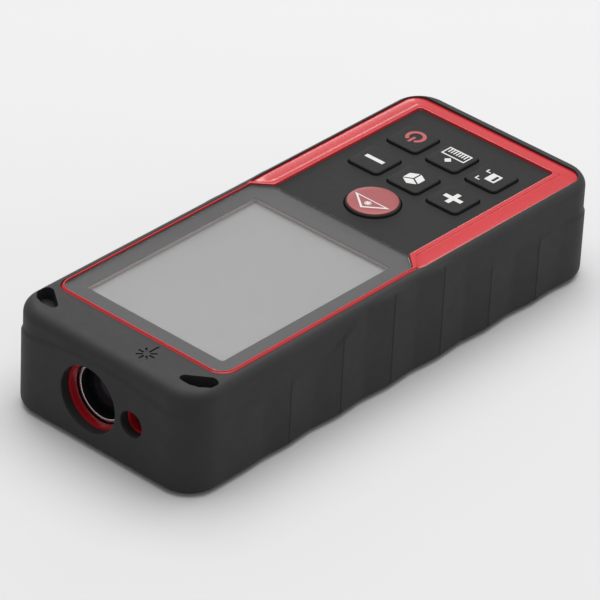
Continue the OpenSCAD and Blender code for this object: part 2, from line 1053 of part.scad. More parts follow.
// stacked coils of one contact spring along Y
module coil_stack(x, y0, y1) {
    wire_r = 0.3;
    coils = 5;
    step = (y1 - y0 - 2 * wire_r) / (coils - 1);
    for (i = [0 : coils - 1])
        translate([x, y0 + wire_r + i * step, cell_z])
            rotate([-90, 0, 0])
                rotate_extrude($fn = 24)
                    translate([2.2 + 0.25 * abs(i - coils / 2), 0])
                        circle(wire_r, $fn = 12);
    rod_y(0.3, y0 + wire_r, y1 - wire_r, x + 2.7, cell_z);
}

module battery_springs() {
    color(metal_colour) {
        coil_stack(-cell_x, -51.65, -46.95);
        coil_stack(cell_x, -7.05, -2.3);
    }
}

module battery_contacts() {
    color(metal_colour) {
        for (x = [-cell_x, cell_x]) {
            block([x - 4.6, -52.15, 3], [x + 4.6, -51.7, 12.6]);
            block([x - 4.6, -2.25, 3], [x + 4.6, -1.85, 12.6]);
        }
        block([-cell_x, -52.15, 6.6], [cell_x, -51.7, 8.4]);
    }
}

module battery_cover() {
    latch_w = 2 * latch_half + 0.6;
    slot_l = latch_l + latch_travel + 0.5;
    color(black_colour) {
        difference() {
            long_plate(cover_half, cover_rear, cover_front, 1,
                cover_bottom, cover_top);
            block([-latch_w / 2, cover_rear - cut, cover_bottom - cut],
                [latch_w / 2, cover_rear + slot_l, latch_top + 0.1]);
            // thumb ribs beside the latch
            for (i = [0 : 4])
                block([-6, -44.6 + i * 1.4, cover_bottom - cut],
                    [6, -44.1 + i * 1.4, cover_bottom + 0.3]);
        }
        for (side = [-1, 1])
            translate([side * (cover_half - 0.5), hinge_y, hinge_z])
                rotate([0, side * 90, 0])
                    cylinder(r = hinge_r,
                        h = 0.5 + cover_gap + hinge_l - 0.15, $fn = 24);
    }
}

module battery_pad() {
    color(key_colour)
        for (side = [-1, 1])
            block([side * cell_x - 2.5, -44, cover_top + 0.02],
                [side * cell_x + 2.5, -9, cover_top + 0.5]);
}

module cover_latch() {
    color(black_colour)
        difference() {
            block([-latch_half, latch_rear, cover_bottom],
                [latch_half, latch_rear + latch_l, latch_top]);
            block([-3, latch_rear + 1.4, cover_bottom - cut],
                [3, latch_rear + 3.2, cover_bottom + 0.3]);
        }
}

// ---------- fasteners ----------

// pan-head screw along Z with its head at height z
module screw(head_r, head_h, shank_r, z, down) {
    slot_w = 0.35;
    difference() {
        union() {
            translate([0, 0, down ? z : z - head_h])
                cylinder(r = head_r, h = head_h, $fn = 32);
            translate([0, 0, down ? z - shank_len(head_h) : z - hair])
                cylinder(r = shank_r, h = shank_len(head_h) + hair,
                    $fn = 24);
        }
        translate([-head_r * 0.7, -slot_w / 2,
                down ? z + head_h * 0.5 : z - head_h - cut])
            cube([head_r * 1.4, slot_w, cut + (down ? 0 : head_h * 0.5)]);
    }
}

// shank length for a head height
function shank_len(head_h) = head_h * 4;

module shell_screws() {
    color(metal_colour)
        boss_places()
            screw(1.9, 0.75, 0.95, panel_z + 0.88, false);
}

module board_screws() {
    color(metal_colour)
        post_places()
            screw(1.5, 0.6, 0.7, board_top + 0.02, true);
}

module optics_screws() {
    color(metal_colour)
        ear_places()
            screw(1.7, 0.8, 0.85, ear_top + 0.02, true);
}

// ---------- output ----------

rubber_jacket();
upper_shell();
lower_shell();
display_window();
window_mask();
window_gasket();
lcd_holder();
lcd_panel();
lcd_backlight();
display_connector();
keypad_plate();
keypad_membrane();
plus_key();
minus_key();
volume_key();
area_key();
unit_key();
power_key();
measure_button();
measure_cap();
main_board();
board_components();
dome_switches();
buzzer();
optics_chassis();
receiver_lens();
lens_ring();
receiver_baffle();
receiver_board();
light_detector();
laser_barrel();
collimating_lens();
laser_diode();
laser_window();
flex_ribbon();
battery_left();
battery_right();
battery_springs();
battery_contacts();
battery_cover();
battery_pad();
cover_latch();
rating_label();
shell_screws();
board_screws();
optics_screws();
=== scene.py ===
# %% [markdown]
# # A pocket laser distance meter
# The CAD model gives every body its place and its joints. This lesson dresses it: a rubber jacket, a
# glossy red shell, a smoked window over a grey display, soft keys with printed marks, and two optical
# ports in one end. Everything is in metres in the CAD's own frame: +Y points at the laser end and +Z out
# of the display.

import json
import math

import bmesh
import bpy
from mathutils import Matrix, Vector


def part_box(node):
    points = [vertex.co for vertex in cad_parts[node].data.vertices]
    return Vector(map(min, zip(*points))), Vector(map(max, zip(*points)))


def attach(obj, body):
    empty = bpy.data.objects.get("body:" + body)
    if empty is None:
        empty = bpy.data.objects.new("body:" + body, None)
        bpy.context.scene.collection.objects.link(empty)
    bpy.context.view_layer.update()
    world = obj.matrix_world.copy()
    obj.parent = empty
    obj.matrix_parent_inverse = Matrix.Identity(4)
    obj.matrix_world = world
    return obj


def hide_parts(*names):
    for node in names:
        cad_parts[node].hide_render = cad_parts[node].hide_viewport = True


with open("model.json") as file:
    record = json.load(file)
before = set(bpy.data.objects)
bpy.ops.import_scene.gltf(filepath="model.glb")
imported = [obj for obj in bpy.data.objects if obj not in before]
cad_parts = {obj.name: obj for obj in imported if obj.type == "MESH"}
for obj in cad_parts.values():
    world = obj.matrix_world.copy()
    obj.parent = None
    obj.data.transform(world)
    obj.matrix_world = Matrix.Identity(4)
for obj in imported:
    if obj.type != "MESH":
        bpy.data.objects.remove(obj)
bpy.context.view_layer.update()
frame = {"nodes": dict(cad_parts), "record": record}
MM = 0.001


# %% [markdown]
# ## Reading sizes from the frame
# A piece that copies a CAD node should follow it if the CAD changes, so sizes are read from the nodes'
# boxes. The helper gives them in millimetres, which are easier to think in for something that fits a
# hand.

# %% Boxes in millimetres
def box_mm(node):
    """Lowest and highest corner of a CAD node, in millimetres."""
    low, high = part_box(node)
    return low / MM, high / MM


JACKET_HIGH = box_mm("rubber_jacket")[1]
WINDOW_LOW, WINDOW_HIGH = box_mm("display_window")
PLATE_LOW, PLATE_HIGH = box_mm("keypad_plate")
HALF_W = JACKET_HIGH.x
HALF_L = JACKET_HIGH.y
JACKET_TOP = JACKET_HIGH.z
PLATE_LIFT = 0.05
DECK_TOP = PLATE_LOW.z - PLATE_LIFT
print("jacket half width, half length, top:", round(HALF_W, 2), round(HALF_L, 2), round(JACKET_TOP, 2))


# %% [markdown]
# ## Making meshes
# Moulded parts are mostly closed loops that grow, shrink and climb: a foot, a wall, a rounded brow. So
# the main helper takes a stack of loops with the same number of points and skins them with quads. It
# keeps the flow of the faces along the shape, which booleans and triangles don't.

# %% Skin a stack of loops
MERGE = 1e-7


def linked(name, data):
    """A mesh, light or camera as an object of the scene."""
    piece = bpy.data.objects.new(name, data)
    bpy.context.scene.collection.objects.link(piece)
    return piece


def new_piece(name, points, faces):
    """A linked object from points in millimetres."""
    mesh = bpy.data.meshes.new(name)
    mesh.from_pydata([Vector(p) * MM for p in points], [], faces)
    mesh.update()
    return linked(name, mesh)


def piece_from_edit(name, edit):
    """A linked object from an edit mesh, which is freed."""
    mesh = bpy.data.meshes.new(name)
    edit.to_mesh(mesh)
    edit.free()
    return linked(name, mesh)


def skin_loops(name, loops, closed=False, caps=True):
    """Quads between neighbouring loops. closed joins the last loop to the first."""
    count = len(loops[0])
    points = [p for loop in loops for p in loop]
    faces = []
    for i in range(len(loops) if closed else len(loops) - 1):
        a = i * count
        b = (i + 1) % len(loops) * count
        for j in range(count):
            k = (j + 1) % count
            faces.append((a + j, a + k, b + k, b + j))
    if caps and not closed:
        faces.append(tuple(range(count - 1, -1, -1)))
        faces.append(tuple(range(len(points) - count, len(points))))
    return new_piece(name, points, faces)


def shade(piece, sharp_degrees=32):
    """Smooth shading with an edge kept sharp where the surface turns by more than the angle."""
    mesh = piece.data
    edit = bmesh.new()
    edit.from_mesh(mesh)
    bmesh.ops.remove_doubles(edit, verts=edit.verts, dist=MERGE)
    bmesh.ops.delete(edit, geom=[e for e in edit.edges if not e.link_faces], context="EDGES")
    bmesh.ops.delete(edit, geom=[v for v in edit.verts if not v.link_faces], context="VERTS")
    bmesh.ops.recalc_face_normals(edit, faces=edit.faces)
    edit.to_mesh(mesh)
    edit.free()
    mesh.polygons.foreach_set("use_smooth", [True] * len(mesh.polygons))
    mesh.set_sharp_from_angle(angle=math.radians(sharp_degrees))
    return piece


# %% [markdown]
# ## Outlines
# Nearly every part of the meter is a rounded rectangle seen from above. Two outlines can only be skinned
# together when their points pair up. For the jacket that is done by dropping each point of the outer
# outline onto the nearest point of the inner one, which never crosses its neighbours, even where the
# corners don't share a centre.

# %% Rounded rectangles that match point for point
END_STEPS = 40
CORNER_STEPS = 14


def even_steps(count):
    """Fractions from 0 to 1 in equal steps."""
    return [i / count for i in range(count + 1)]


def rounded_loop(half, rear, front, tail_r, nose_r, side_steps):
    """(x, y, outward x, outward y) counter-clockwise from the rear of the +X side."""
    y0 = rear + tail_r
    y1 = front - nose_r
    loop = [(half, y0 + (y1 - y0) * f, 1.0, 0.0) for f in side_steps]

    def corner(cx, cy, r, start):
        for i in range(1, CORNER_STEPS):
            a = math.radians(start + 90 * i / CORNER_STEPS)
            loop.append((cx + r * math.cos(a), cy + r * math.sin(a), math.cos(a), math.sin(a)))

    corner(half - nose_r, y1, nose_r, 0)
    loop += [((half - nose_r) * (1 - 2 * f), front, 0.0, 1.0) for f in even_steps(END_STEPS)]
    corner(-half + nose_r, y1, nose_r, 90)
    loop += [(-half, y1 - (y1 - y0) * (1 - f), -1.0, 0.0) for f in reversed(side_steps)]
    corner(-half + tail_r, y0, tail_r, 180)
    loop += [((half - tail_r) * (2 * f - 1), rear, 0.0, -1.0) for f in even_steps(END_STEPS)]
    corner(half - tail_r, y0, tail_r, 270)
    return loop


def core_point(box, x, y):
    """The nearest point of the box's core, and the corner radius there."""
    half, rear, front, tail_r, nose_r = box
    r = nose_r if y > 0 else tail_r
    return min(max(x, r - half), half - r), min(max(y, rear + tail_r), front - nose_r), r


def dropped_on(box, loop):
    """The loop's points moved to the nearest points of a rounded box."""
    landed = []
    for x, y, *_ in loop:
        cx, cy, r = core_point(box, x, y)
        away = math.hypot(x - cx, y - cy)
        nx, ny = (x - cx) / away, (y - cy) / away
        landed.append((cx + nx * r, cy + ny * r, nx, ny))
    return landed


def outside(box, x, y):
    """Distance outside a rounded box, negative inside."""
    cx, cy, r = core_point(box, x, y)
    return math.hypot(x - cx, y - cy) - r


def at_height(loop, z, inset=0.0):
    """The loop's points at one height, moved inward."""
    return [(x - nx * inset, y - ny * inset, z) for x, y, nx, ny in loop]


def blend_loops(a, b, t):
    """Points between two loops of points."""
    return [tuple(p + (q - p) * t for p, q in zip(u, v)) for u, v in zip(a, b)]


print("points round one outline:", len(rounded_loop(10, -10, 10, 2, 2, even_steps(4))))


# %% [markdown]
# ## Cutting holes
# Ports, slots and pressed marks are real holes in the rubber, so they are cut with an exact boolean once
# the jacket is skinned. A cutter is removed as soon as it has done its work.

# %% Boolean and joining helpers
def apply_modifiers(piece):
    """Replaces the mesh by its evaluated one and drops the modifiers."""
    graph = bpy.context.evaluated_depsgraph_get()
    mesh = bpy.data.meshes.new_from_object(piece.evaluated_get(graph))
    piece.modifiers.clear()
    piece.data = mesh
    mesh.name = piece.name
    return piece


def flatten(piece):
    """Lets the big faces set the normals, so that a flat face shades flat right up to its rounded edge."""
    modifier = piece.modifiers.new("flat faces", "WEIGHTED_NORMAL")
    modifier.keep_sharp = True
    modifier.weight = 100
    bpy.context.view_layer.update()
    return apply_modifiers(piece)


def combine(piece, other, operation):
    """An exact boolean of two closed solids. The second one is used up."""
    modifier = piece.modifiers.new("combine", "BOOLEAN")
    modifier.operation = operation
    modifier.solver = "EXACT"
    modifier.object = other
    bpy.context.view_layer.update()
    apply_modifiers(piece)
    bpy.data.objects.remove(other)
    return piece


def cut_away(piece, cutter):
    """The first solid without the second."""
    return combine(piece, cutter, "DIFFERENCE")


def weld_on(piece, other):
    """Both solids as one skin."""
    return combine(piece, other, "UNION")


def join_pieces(name, pieces):
    """One object from several meshes that don't need to move apart."""
    edit = bmesh.new()
    for piece in pieces:
        edit.from_mesh(piece.data)
        bpy.data.objects.remove(piece)
    return piece_from_edit(name, edit)


def turned(name, profile, x, z, steps=96, closed=False):
    """A solid of revolution about a line along Y. The profile is (radius, y) from one end to the other."""
    angles = [2 * math.pi * i / steps for i in range(steps)]
    loops = [[(x + r * math.cos(a), y, z + r * math.sin(a)) for a in angles] for r, y in profile]
    return skin_loops(name, loops, closed=closed)


def prism(name, outline, z0, z1):
    """An upright prism on a counter-clockwise outline of (x, y)."""
    return skin_loops(name, [[(x, y, z0) for x, y in outline], [(x, y, z1) for x, y in outline]])


# %% [markdown]
# ## Finishes
# Each finish is a small node tree: a base colour that drifts a little, a roughness that isn't perfectly
# even, and a fine bump for the mould's grain. Object coordinates are used, so the grain has the same size
# on every part.

# %% One recipe for moulded surfaces
def finish(name, colour, roughness, grain=0.0, grain_scale=4000.0, drift=0.08, drift_scale=60.0,
           rough_drift=0.06, metallic=0.0, coat=0.0, coat_roughness=0.1, specular=0.5):
    """A node material for one finish. grain is the bump's height in metres."""
    material = bpy.data.materials.new(name)
    material.use_nodes = True
    nodes = material.node_tree.nodes
    links = material.node_tree.links
    shader = nodes["Principled BSDF"]
    shader.inputs["Metallic"].default_value = metallic
    shader.inputs["Coat Weight"].default_value = coat
    shader.inputs["Coat Roughness"].default_value = coat_roughness
    shader.inputs["Specular IOR Level"].default_value = specular
    place = nodes.new("ShaderNodeTexCoord")

    def noise(scale, detail):
        texture = nodes.new("ShaderNodeTexNoise")
        texture.inputs["Scale"].default_value = scale
        texture.inputs["Detail"].default_value = detail
        links.new(place.outputs["Object"], texture.inputs["Vector"])
        return texture

    cloud = noise(drift_scale, 4.0)
    ramp = nodes.new("ShaderNodeValToRGB")
    for element, side in zip(ramp.color_ramp.elements, (1 - drift, 1 + drift)):
        element.color = tuple(min(c * side, 1.0) for c in colour) + (1.0,)
    ramp.color_ramp.elements[0].position = 0.3
    ramp.color_ramp.elements[1].position = 0.7
    links.new(cloud.outputs["Fac"], ramp.inputs["Fac"])
    links.new(ramp.outputs["Color"], shader.inputs["Base Color"])
    spread = nodes.new("ShaderNodeMapRange")
    spread.inputs["To Min"].default_value = max(roughness - rough_drift, 0.02)
    spread.inputs["To Max"].default_value = min(roughness + rough_drift, 1.0)
    links.new(noise(drift_scale * 9, 3.0).outputs["Fac"], spread.inputs["Value"])
    links.new(spread.outputs["Result"], shader.inputs["Roughness"])
    if grain:
        bump = nodes.new("ShaderNodeBump")
        bump.inputs["Distance"].default_value = grain
        bump.inputs["Strength"].default_value = 1.0
        links.new(noise(grain_scale, 3.0).outputs["Fac"], bump.inputs["Height"])
        links.new(bump.outputs["Normal"], shader.inputs["Normal"])
    return material


def clear_finish(name, colour, roughness, ior):
    """Clear moulded sheet or glass."""
    material = bpy.data.materials.new(name)
    material.use_nodes = True
    shader = material.node_tree.nodes["Principled BSDF"]
    shader.inputs["Base Color"].default_value = colour + (1.0,)
    shader.inputs["Roughness"].default_value = roughness
    shader.inputs["IOR"].default_value = ior
    shader.inputs["Transmission Weight"].default_value = 1.0
    return material


# %% [markdown]
# ## The finishes of this meter
# Black rubber is never black: it is a dark grey that scatters light. The red shell is a glossy moulding,
# the printed marks are a flat white or red ink, and the metal inside is plain steel, brass and cast
# aluminium. After its name each line gives the colour, the roughness, the grain's height and scale, the
# colour's drift and scale, and the roughness's drift.

# %% Name each finish
FINISHES = {
    "rubber": finish("jacket rubber", (0.019, 0.019, 0.0193), 0.60, 4e-6, 5200, 0.10, 45, 0.08,
                     specular=0.26),
    "red_plastic": finish("red moulding", (0.39, 0.008, 0.013), 0.36, 1e-6, 3000, 0.04, 70, 0.05, coat=0.55,
                          specular=0.25),
    "black_plastic": finish("black moulding", (0.010, 0.010, 0.0102), 0.55, 3e-6, 4200, 0.08, 60, 0.06,
                            specular=0.16),
    "black_print": finish("window print", (0.045, 0.044, 0.044), 0.55, 0.0, 3000, 0.03, 40, 0.02),
    "black_foam": finish("black foam", (0.012, 0.012, 0.012), 0.9, 2e-5, 1800, 0.2, 200, 0.05),
    "grey_plastic": finish("display frame", (0.34, 0.28, 0.28), 0.5, 2e-6, 3500, 0.04, 60, 0.04),
    "lcd_face": finish("display face", (0.176, 0.177, 0.176), 0.32, 0.0, 3000, 0.02, 25, 0.03),
    "white_plastic": finish("white moulding", (0.62, 0.62, 0.61), 0.45, 2e-6, 3500, 0.03, 60, 0.05),
    "key_rubber": finish("key rubber", (0.010, 0.010, 0.0102), 0.58, 3e-6, 5200, 0.08, 80, 0.06,
                         specular=0.16),
    "circuit_board": finish("board", (0.02, 0.12, 0.05), 0.38, 4e-6, 900, 0.2, 300, 0.08),
    "steel": finish("steel", (0.66, 0.66, 0.68), 0.26, 1e-6, 2500, 0.05, 120, 0.08, metallic=1.0),
    "brass": finish("brass", (0.80, 0.58, 0.26), 0.3, 1e-6, 2500, 0.06, 120, 0.08, metallic=1.0),
    "cast_metal": finish("cast metal", (0.42, 0.43, 0.45), 0.48, 8e-6, 2200, 0.1, 150, 0.1, metallic=1.0),
    "ribbon": finish("ribbon", (0.5, 0.28, 0.06), 0.4, 1e-6, 2500, 0.06, 200, 0.05),
    "cell_wrap": finish("cell sleeve", (0.04, 0.055, 0.09), 0.28, 0.0, 2500, 0.05, 50, 0.05, coat=0.4),
    "label_film": finish("label film", (0.42, 0.42, 0.41), 0.4, 1e-6, 2500, 0.03, 50, 0.04),
    "white_ink": finish("white ink", (0.47, 0.47, 0.46), 0.5, 1e-6, 4000, 0.03, 200, 0.04),
    "red_ink": finish("red ink", (0.30, 0.045, 0.05), 0.5, 1e-6, 4000, 0.05, 200, 0.04),
    "cap_red": finish("cap red", (0.225, 0.036, 0.038), 0.45, 2e-6, 4200, 0.05, 90, 0.05),
    "window_glass": clear_finish("window acrylic", (1.0, 1.0, 1.0), 0.02, 1.49),
    # The lens finish is opaque, and its near-black colour is painted shade for the dark inside of the meter
    # seen through the glass.
    "optical_glass": finish("lens with painted shade", (0.006, 0.007, 0.010), 0.22, 0.0, 2500, 0.05, 50, 0.02,
                            specular=0.12),
}
print("finishes made:", len(FINISHES))

SLOTS = {s["node"]: s["material_slot"] for s in frame["record"]["subparts"]}
for node, cad_object in frame["nodes"].items():
    cad_object.data.materials.clear()
    cad_object.data.materials.append(FINISHES[SLOTS[node]])


# %% [markdown]
# ## Fitting a piece
# Every piece needs three things: the body it moves with, the CAD node it stands for, and a finish. One
# helper does all three, so that no piece is forgotten. A few pieces carry a second finish on some of
# their faces.

# %% Fit a piece to its body
def fit_piece(piece, body, slot, finish_name=None, replaces=()):
    """Dresses a piece and hangs it on its body. The finish is the slot's own unless another is named."""
    piece.data.materials.clear()
    piece.data.materials.append(FINISHES[finish_name or slot])
    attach(piece, body)
    if replaces:
        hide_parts(*replaces)
    return piece


def second_finish(piece, finish_name, chosen):
    """Puts another finish on the faces for which chosen(face) holds."""
    piece.data.materials.append(FINISHES[finish_name])
    for face in piece.data.polygons:
        face.material_index = int(chosen(face))


# %% [markdown]
# ## The jacket's side relief
# The grip has upright ridges every 14 mm with shallow valleys between them. They die out at a soft step
# that runs round the body: it arches up in the middle of each side and again over the ports. The relief
# is worked out as an inset from the outer box for any place and height, so one formula serves the foot,
# the wall and the brow.

# %% Relief of the jacket wall
CORNER_R = 7.1
FOOT_R = 1.9
FOOT_STEPS = 8
BROW_R = 2.4
RIDGE_PITCH = 14.2
RIDGE_MID = -11.2
RIDGES = [RIDGE_MID + RIDGE_PITCH * k for k in range(-2, 4)]
VALLEY_D = 0.5
SHOULDER_D = 0.32
STEP_SOFT = 0.55
CREST_GROOVE_D = 0.16
CREST_GROOVE_HALF = 0.3
SIDE_STEP_Z = 15.0
SIDE_ARCH = 6.4
SIDE_ARCH_Y = (-27.0, 24.0)
SIDE_ARCH_RUN = 15.0
END_STEP_Z = 17.0
END_ARCH = 2.1
END_ARCH_HALF = 18.0
BACK_STEP_Z = 14.2


def smooth(t):
    """0 below 0, 1 above 1, and a soft ramp between them."""
    t = min(max(t, 0.0), 1.0)
    return t * t * (3 - 2 * t)


def step_height(x, y, nx, ny):
    """Height of the soft step at a place on the outline."""
    arch_rear, arch_front = SIDE_ARCH_Y
    arch = smooth((arch_front - y) / SIDE_ARCH_RUN) * smooth((y - arch_rear) / SIDE_ARCH_RUN)
    side = SIDE_STEP_Z + SIDE_ARCH * arch
    front = END_STEP_Z + END_ARCH * math.cos(math.pi / 2 * min(abs(x) / END_ARCH_HALF, 1.0))
    if ny > 0:
        return side + (front - side) * smooth(ny)
    return side + (BACK_STEP_Z - side) * smooth(-ny)


def valley(y):
    """0 on a ridge, 1 in the middle between two ridges, fading out at both ends of the grip."""
    pitches = (y - RIDGE_MID) / RIDGE_PITCH
    away = abs(pitches - round(pitches)) * 2
    front_fade = smooth((RIDGES[-1] + RIDGE_PITCH - y) / RIDGE_PITCH)
    rear_fade = smooth((y - RIDGES[0] + RIDGE_PITCH) / RIDGE_PITCH)
    return away * front_fade * rear_fade


def crest_groove(y):
    """A fine V cut along each ridge, 1 at its bottom."""
    nearest = min(abs(y - r) for r in RIDGES)
    return max(0.0, 1 - nearest / CREST_GROOVE_HALF)


def relief(x, y, nx, ny, z):
    """Inset of the skin from the outer box: ribs below the soft step, an even shoulder above it."""
    below = smooth((step_height(x, y, nx, ny) - z) / STEP_SOFT + 0.5)
    side = abs(nx) ** 4
    carved = VALLEY_D * valley(y) + CREST_GROOVE_D * crest_groove(y)
    return below * carved * side + (1 - below) * SHOULDER_D


# %% [markdown]
# ## Skinning the jacket
# The jacket is one closed skin: bottom lip, rounded foot, wall, rounded brow, the flat deck in to the
# opening, and back down the inside. The columns are placed so that ridges and valleys fall exactly on
# them and stay crisp.

# %% Build the jacket
STATION_PITCH = 0.8


def side_stations():
    """Positions along the side as fractions, with every ridge and valley among them."""
    y0 = -HALF_L + CORNER_R
    y1 = HALF_L - CORNER_R
    valleys = [r - RIDGE_PITCH / 2 for r in RIDGES] + [RIDGES[-1] + RIDGE_PITCH / 2]
    grooves = [r + d * CREST_GROOVE_HALF for r in RIDGES for d in (-1, 0, 1)]
    marks = [y0] + sorted(valleys + grooves) + [y1]
    stations = [0.0]
    for a, b in zip(marks, marks[1:]):
        parts = max(1, round((b - a) / STATION_PITCH))
        stations += [((a + (b - a) * i / parts) - y0) / (y1 - y0) for i in range(1, parts + 1)]
    return stations


OUTER = rounded_loop(HALF_W, -HALF_L, HALF_L, CORNER_R, CORNER_R, side_stations())
BEZEL_HALF = 21.95
BEZEL_REAR = -55.0
BEZEL_FRONT = 48.2
BEZEL_R = 3.4
RIM_GROW = 0.12
BEZEL_GAP = 0.05
TUCK = 0.33
TUCK_FROM = -8.0
TUCK_RUN = 2.5
NOSE_TUCK_FROM = 40.0
NOSE_TUCK_RUN = 6.0
MIDDLE_RUN = 4.0
CAVITY_BOX = (22.4, -56.0, 56.0, 5.5, 5.5)
BACK_BOX = (19.95, -53.45, 53.45, 3.05, 3.05)
BACK_LIP_Z = 1.15
LIP_ROUND = 0.15
WALL_STEPS = 40
BROW_STEPS = 10
HALVINGS = 30
DECK_CLEAR = 0.03


def bezel_box(grow):
    """The bezel's outline as a rounded box, grown by a gap."""
    return BEZEL_HALF + grow, BEZEL_REAR - grow, BEZEL_FRONT + grow, BEZEL_R + grow, BEZEL_R + grow


def tucked(x, y):
    """Moves a point of the bezel's outer edge inward beside and beyond the display."""
    side = TUCK * smooth((y - TUCK_FROM) / TUCK_RUN) * smooth(abs(x) / MIDDLE_RUN)
    nose = TUCK * smooth((y - NOSE_TUCK_FROM) / NOSE_TUCK_RUN)
    return x - math.copysign(side, x), y - nose


OPENING_BOX = bezel_box(BEZEL_GAP)
RIM_BOX = bezel_box(BEZEL_GAP + RIM_GROW)
CAVITY = dropped_on(CAVITY_BOX, OUTER)
BACK_OPENING = dropped_on(BACK_BOX, OUTER)
WALL_TOP = JACKET_TOP - BROW_R


def wall_point(place, z, inset):
    """A point of the outer skin, with the relief taken off."""
    x, y, nx, ny = place
    total = inset + relief(x, y, nx, ny, z)
    return x - nx * total, y - ny * total, z


def brow_reach(place):
    """How far the brow can run inward before it meets the opening's rim."""
    x, y, nx, ny = place

    def clear_of_rim(reach):
        inset = reach + SHOULDER_D
        return outside(RIM_BOX, x - nx * inset, y - ny * inset)

    low, high = 0.0, BROW_R
    if clear_of_rim(high) >= 0:
        return high
    for _ in range(HALVINGS):
        middle = (low + high) / 2
        if clear_of_rim(middle) > 0:
            low = middle
        else:
            high = middle
    return low


def brow_row(part):
    """One row of the rounded brow, at a fraction of each column's own arc."""
    row = []
    for place in OUTER:
        a = math.acos(1 - brow_reach(place) / BROW_R) * part
        row.append(wall_point(place, WALL_TOP + BROW_R * math.sin(a), BROW_R * (1 - math.cos(a))))
    return row


def rim_row(shoulder, grow, drop):
    """A row along the opening's rim, at the height where each column's brow ended."""
    landed = dropped_on(OPENING_BOX, shoulder)
    return [tucked(x + nx * grow, y + ny * grow) + (p[2] - drop,)
            for (x, y, nx, ny), p in zip(landed, shoulder)]


def build_jacket():
    """The whole jacket as one closed skin."""
    rows = [at_height(BACK_OPENING, LIP_ROUND), at_height(BACK_OPENING, 0.0, -LIP_ROUND)]
    arc = [math.radians(90 * i / FOOT_STEPS) for i in range(FOOT_STEPS + 1)]
    foot = [[wall_point(p, FOOT_R * (1 - math.cos(a)), FOOT_R * (1 - math.sin(a))) for p in OUTER]
            for a in arc]
    rows += [blend_loops(rows[-1], foot[0], 0.5)] + foot
    for i in range(1, WALL_STEPS):
        z = FOOT_R + (WALL_TOP - FOOT_R) * i / WALL_STEPS
        rows.append([wall_point(p, z, 0.0) for p in OUTER])
    rows += [brow_row(part) for part in even_steps(BROW_STEPS)]
    shoulder = rows[-1]
    rim = rim_row(shoulder, RIM_GROW, 0.0)
    rows += [blend_loops(shoulder, rim, t) for t in (0.3, 0.65)]
    rows += [rim, rim_row(shoulder, 0.03, 0.04), rim_row(shoulder, 0.0, 0.14)]
    under = DECK_TOP + DECK_CLEAR
    rows.append([tucked(x, y) + (under,) for x, y, *_ in dropped_on(OPENING_BOX, shoulder)])
    rows += [at_height(CAVITY, under), at_height(CAVITY, BACK_LIP_Z), at_height(BACK_OPENING, BACK_LIP_Z)]
    return skin_loops("jacket_grip", rows, closed=True)


jacket = build_jacket()
print("jacket before cutting:", len(jacket.data.polygons), "faces")

# %% [markdown]
# ## Ports, corner slots and the beam mark
# Each port is a straight bore whose mouth flares by a fifth of a millimetre, which is what catches the
# light. The two corner slots are deep wells that look nearly black, so a cup of black rubber lines them
# down through the red shell: painted shade for the darkness of a still deeper well. The burst mark over
# the laser port is generic: short rays and a long one.

# %% Cut the jacket
AXIS_Z = 10.55
RECEIVER_X = 2.4
LASER_X = -8.7
RECEIVER_R = 6.9
LASER_R = 2.7
RECEIVER_FLARE = 0.22
LASER_FLARE = 0.18
FLARE_STEPS = 6
BORE_DEPTH = 4.0
PAST = 1.0
MARK_D = 0.3
MARK_X = -6.6
MARK_Y = 52.1
RAYS = 8
BEAM_RAY = 4
RAY_START = 0.7
RAY_END = 2.0
BEAM_END = 3.3
RAY_W = 0.42
SLOT_CORNERS = ((16.2, 52.95), (20.7, 49.7), (21.6, 49.8), (21.5, 51.2), (20.4, 52.45), (18.8, 53.0))
SLOT_CORNER_R = 0.22
SLOT_SINK = 1.1
# The collar is a black rubber cup inside each slot: painted shade for the darkness of a deeper well.
SHADE_COLLAR_SINK = 1.25
POCKET_SINK = 1.3
POCKET_GAP = 0.02
SHADE_COLLAR_GROW = 1.14
SHADE_COLLAR_RISE = 0.2


def flared_bore(name, r, x, flare):
    """A cutter for a bore from the end face, wider at its mouth."""
    arc = [math.radians(90 * part) for part in even_steps(FLARE_STEPS)]
    profile = [(r, HALF_L - BORE_DEPTH)]
    profile += [(r + flare * (1 - math.cos(a)), HALF_L - flare * (1 - math.sin(a))) for a in arc]
    profile += [(r + flare, HALF_L + PAST)]
    return turned(name, profile, x, AXIS_Z)


def rounded_polygon(corners, r, steps=5):
    """A convex counter-clockwise polygon with an arc at every corner."""
    outline = []
    for i, corner in enumerate(corners):
        here = Vector(corner)
        before = (Vector(corners[i - 1]) - here).normalized()
        after = (Vector(corners[(i + 1) % len(corners)]) - here).normalized()
        half_angle = before.angle(after) / 2
        centre = here + (before + after).normalized() * r / math.sin(half_angle)
        first = here + before * r / math.tan(half_angle) - centre
        last = here + after * r / math.tan(half_angle) - centre
        for k in range(steps + 1):
            outline.append(tuple(centre + first.slerp(last, k / steps)))
    return outline


def slot_outline(side, grow=1.0):
    """A leaf that follows the jacket's corner, scaled about its own middle."""
    outline = rounded_polygon(SLOT_CORNERS, SLOT_CORNER_R)
    mx = sum(x for x, y in outline) / len(outline)
    my = sum(y for x, y in outline) / len(outline)
    outline = [(side * (mx + (x - mx) * grow), my + (y - my) * grow) for x, y in outline]
    return outline if side > 0 else outline[::-1]


def corner_slot(side, grow=1.0, sink=SLOT_SINK):
    """A cutter for one slot, down to a depth below the deck."""
    return prism("slot", slot_outline(side, grow), DECK_TOP - sink, JACKET_TOP + PAST)


def shade_collar(side):
    """A plug of rubber in the red shell's pocket. The slot is cut into it and leaves a thin black cup of
    painted shade.
    """
    return prism("collar", slot_outline(side, SHADE_COLLAR_GROW), DECK_TOP - SHADE_COLLAR_SINK, DECK_TOP + SHADE_COLLAR_RISE)


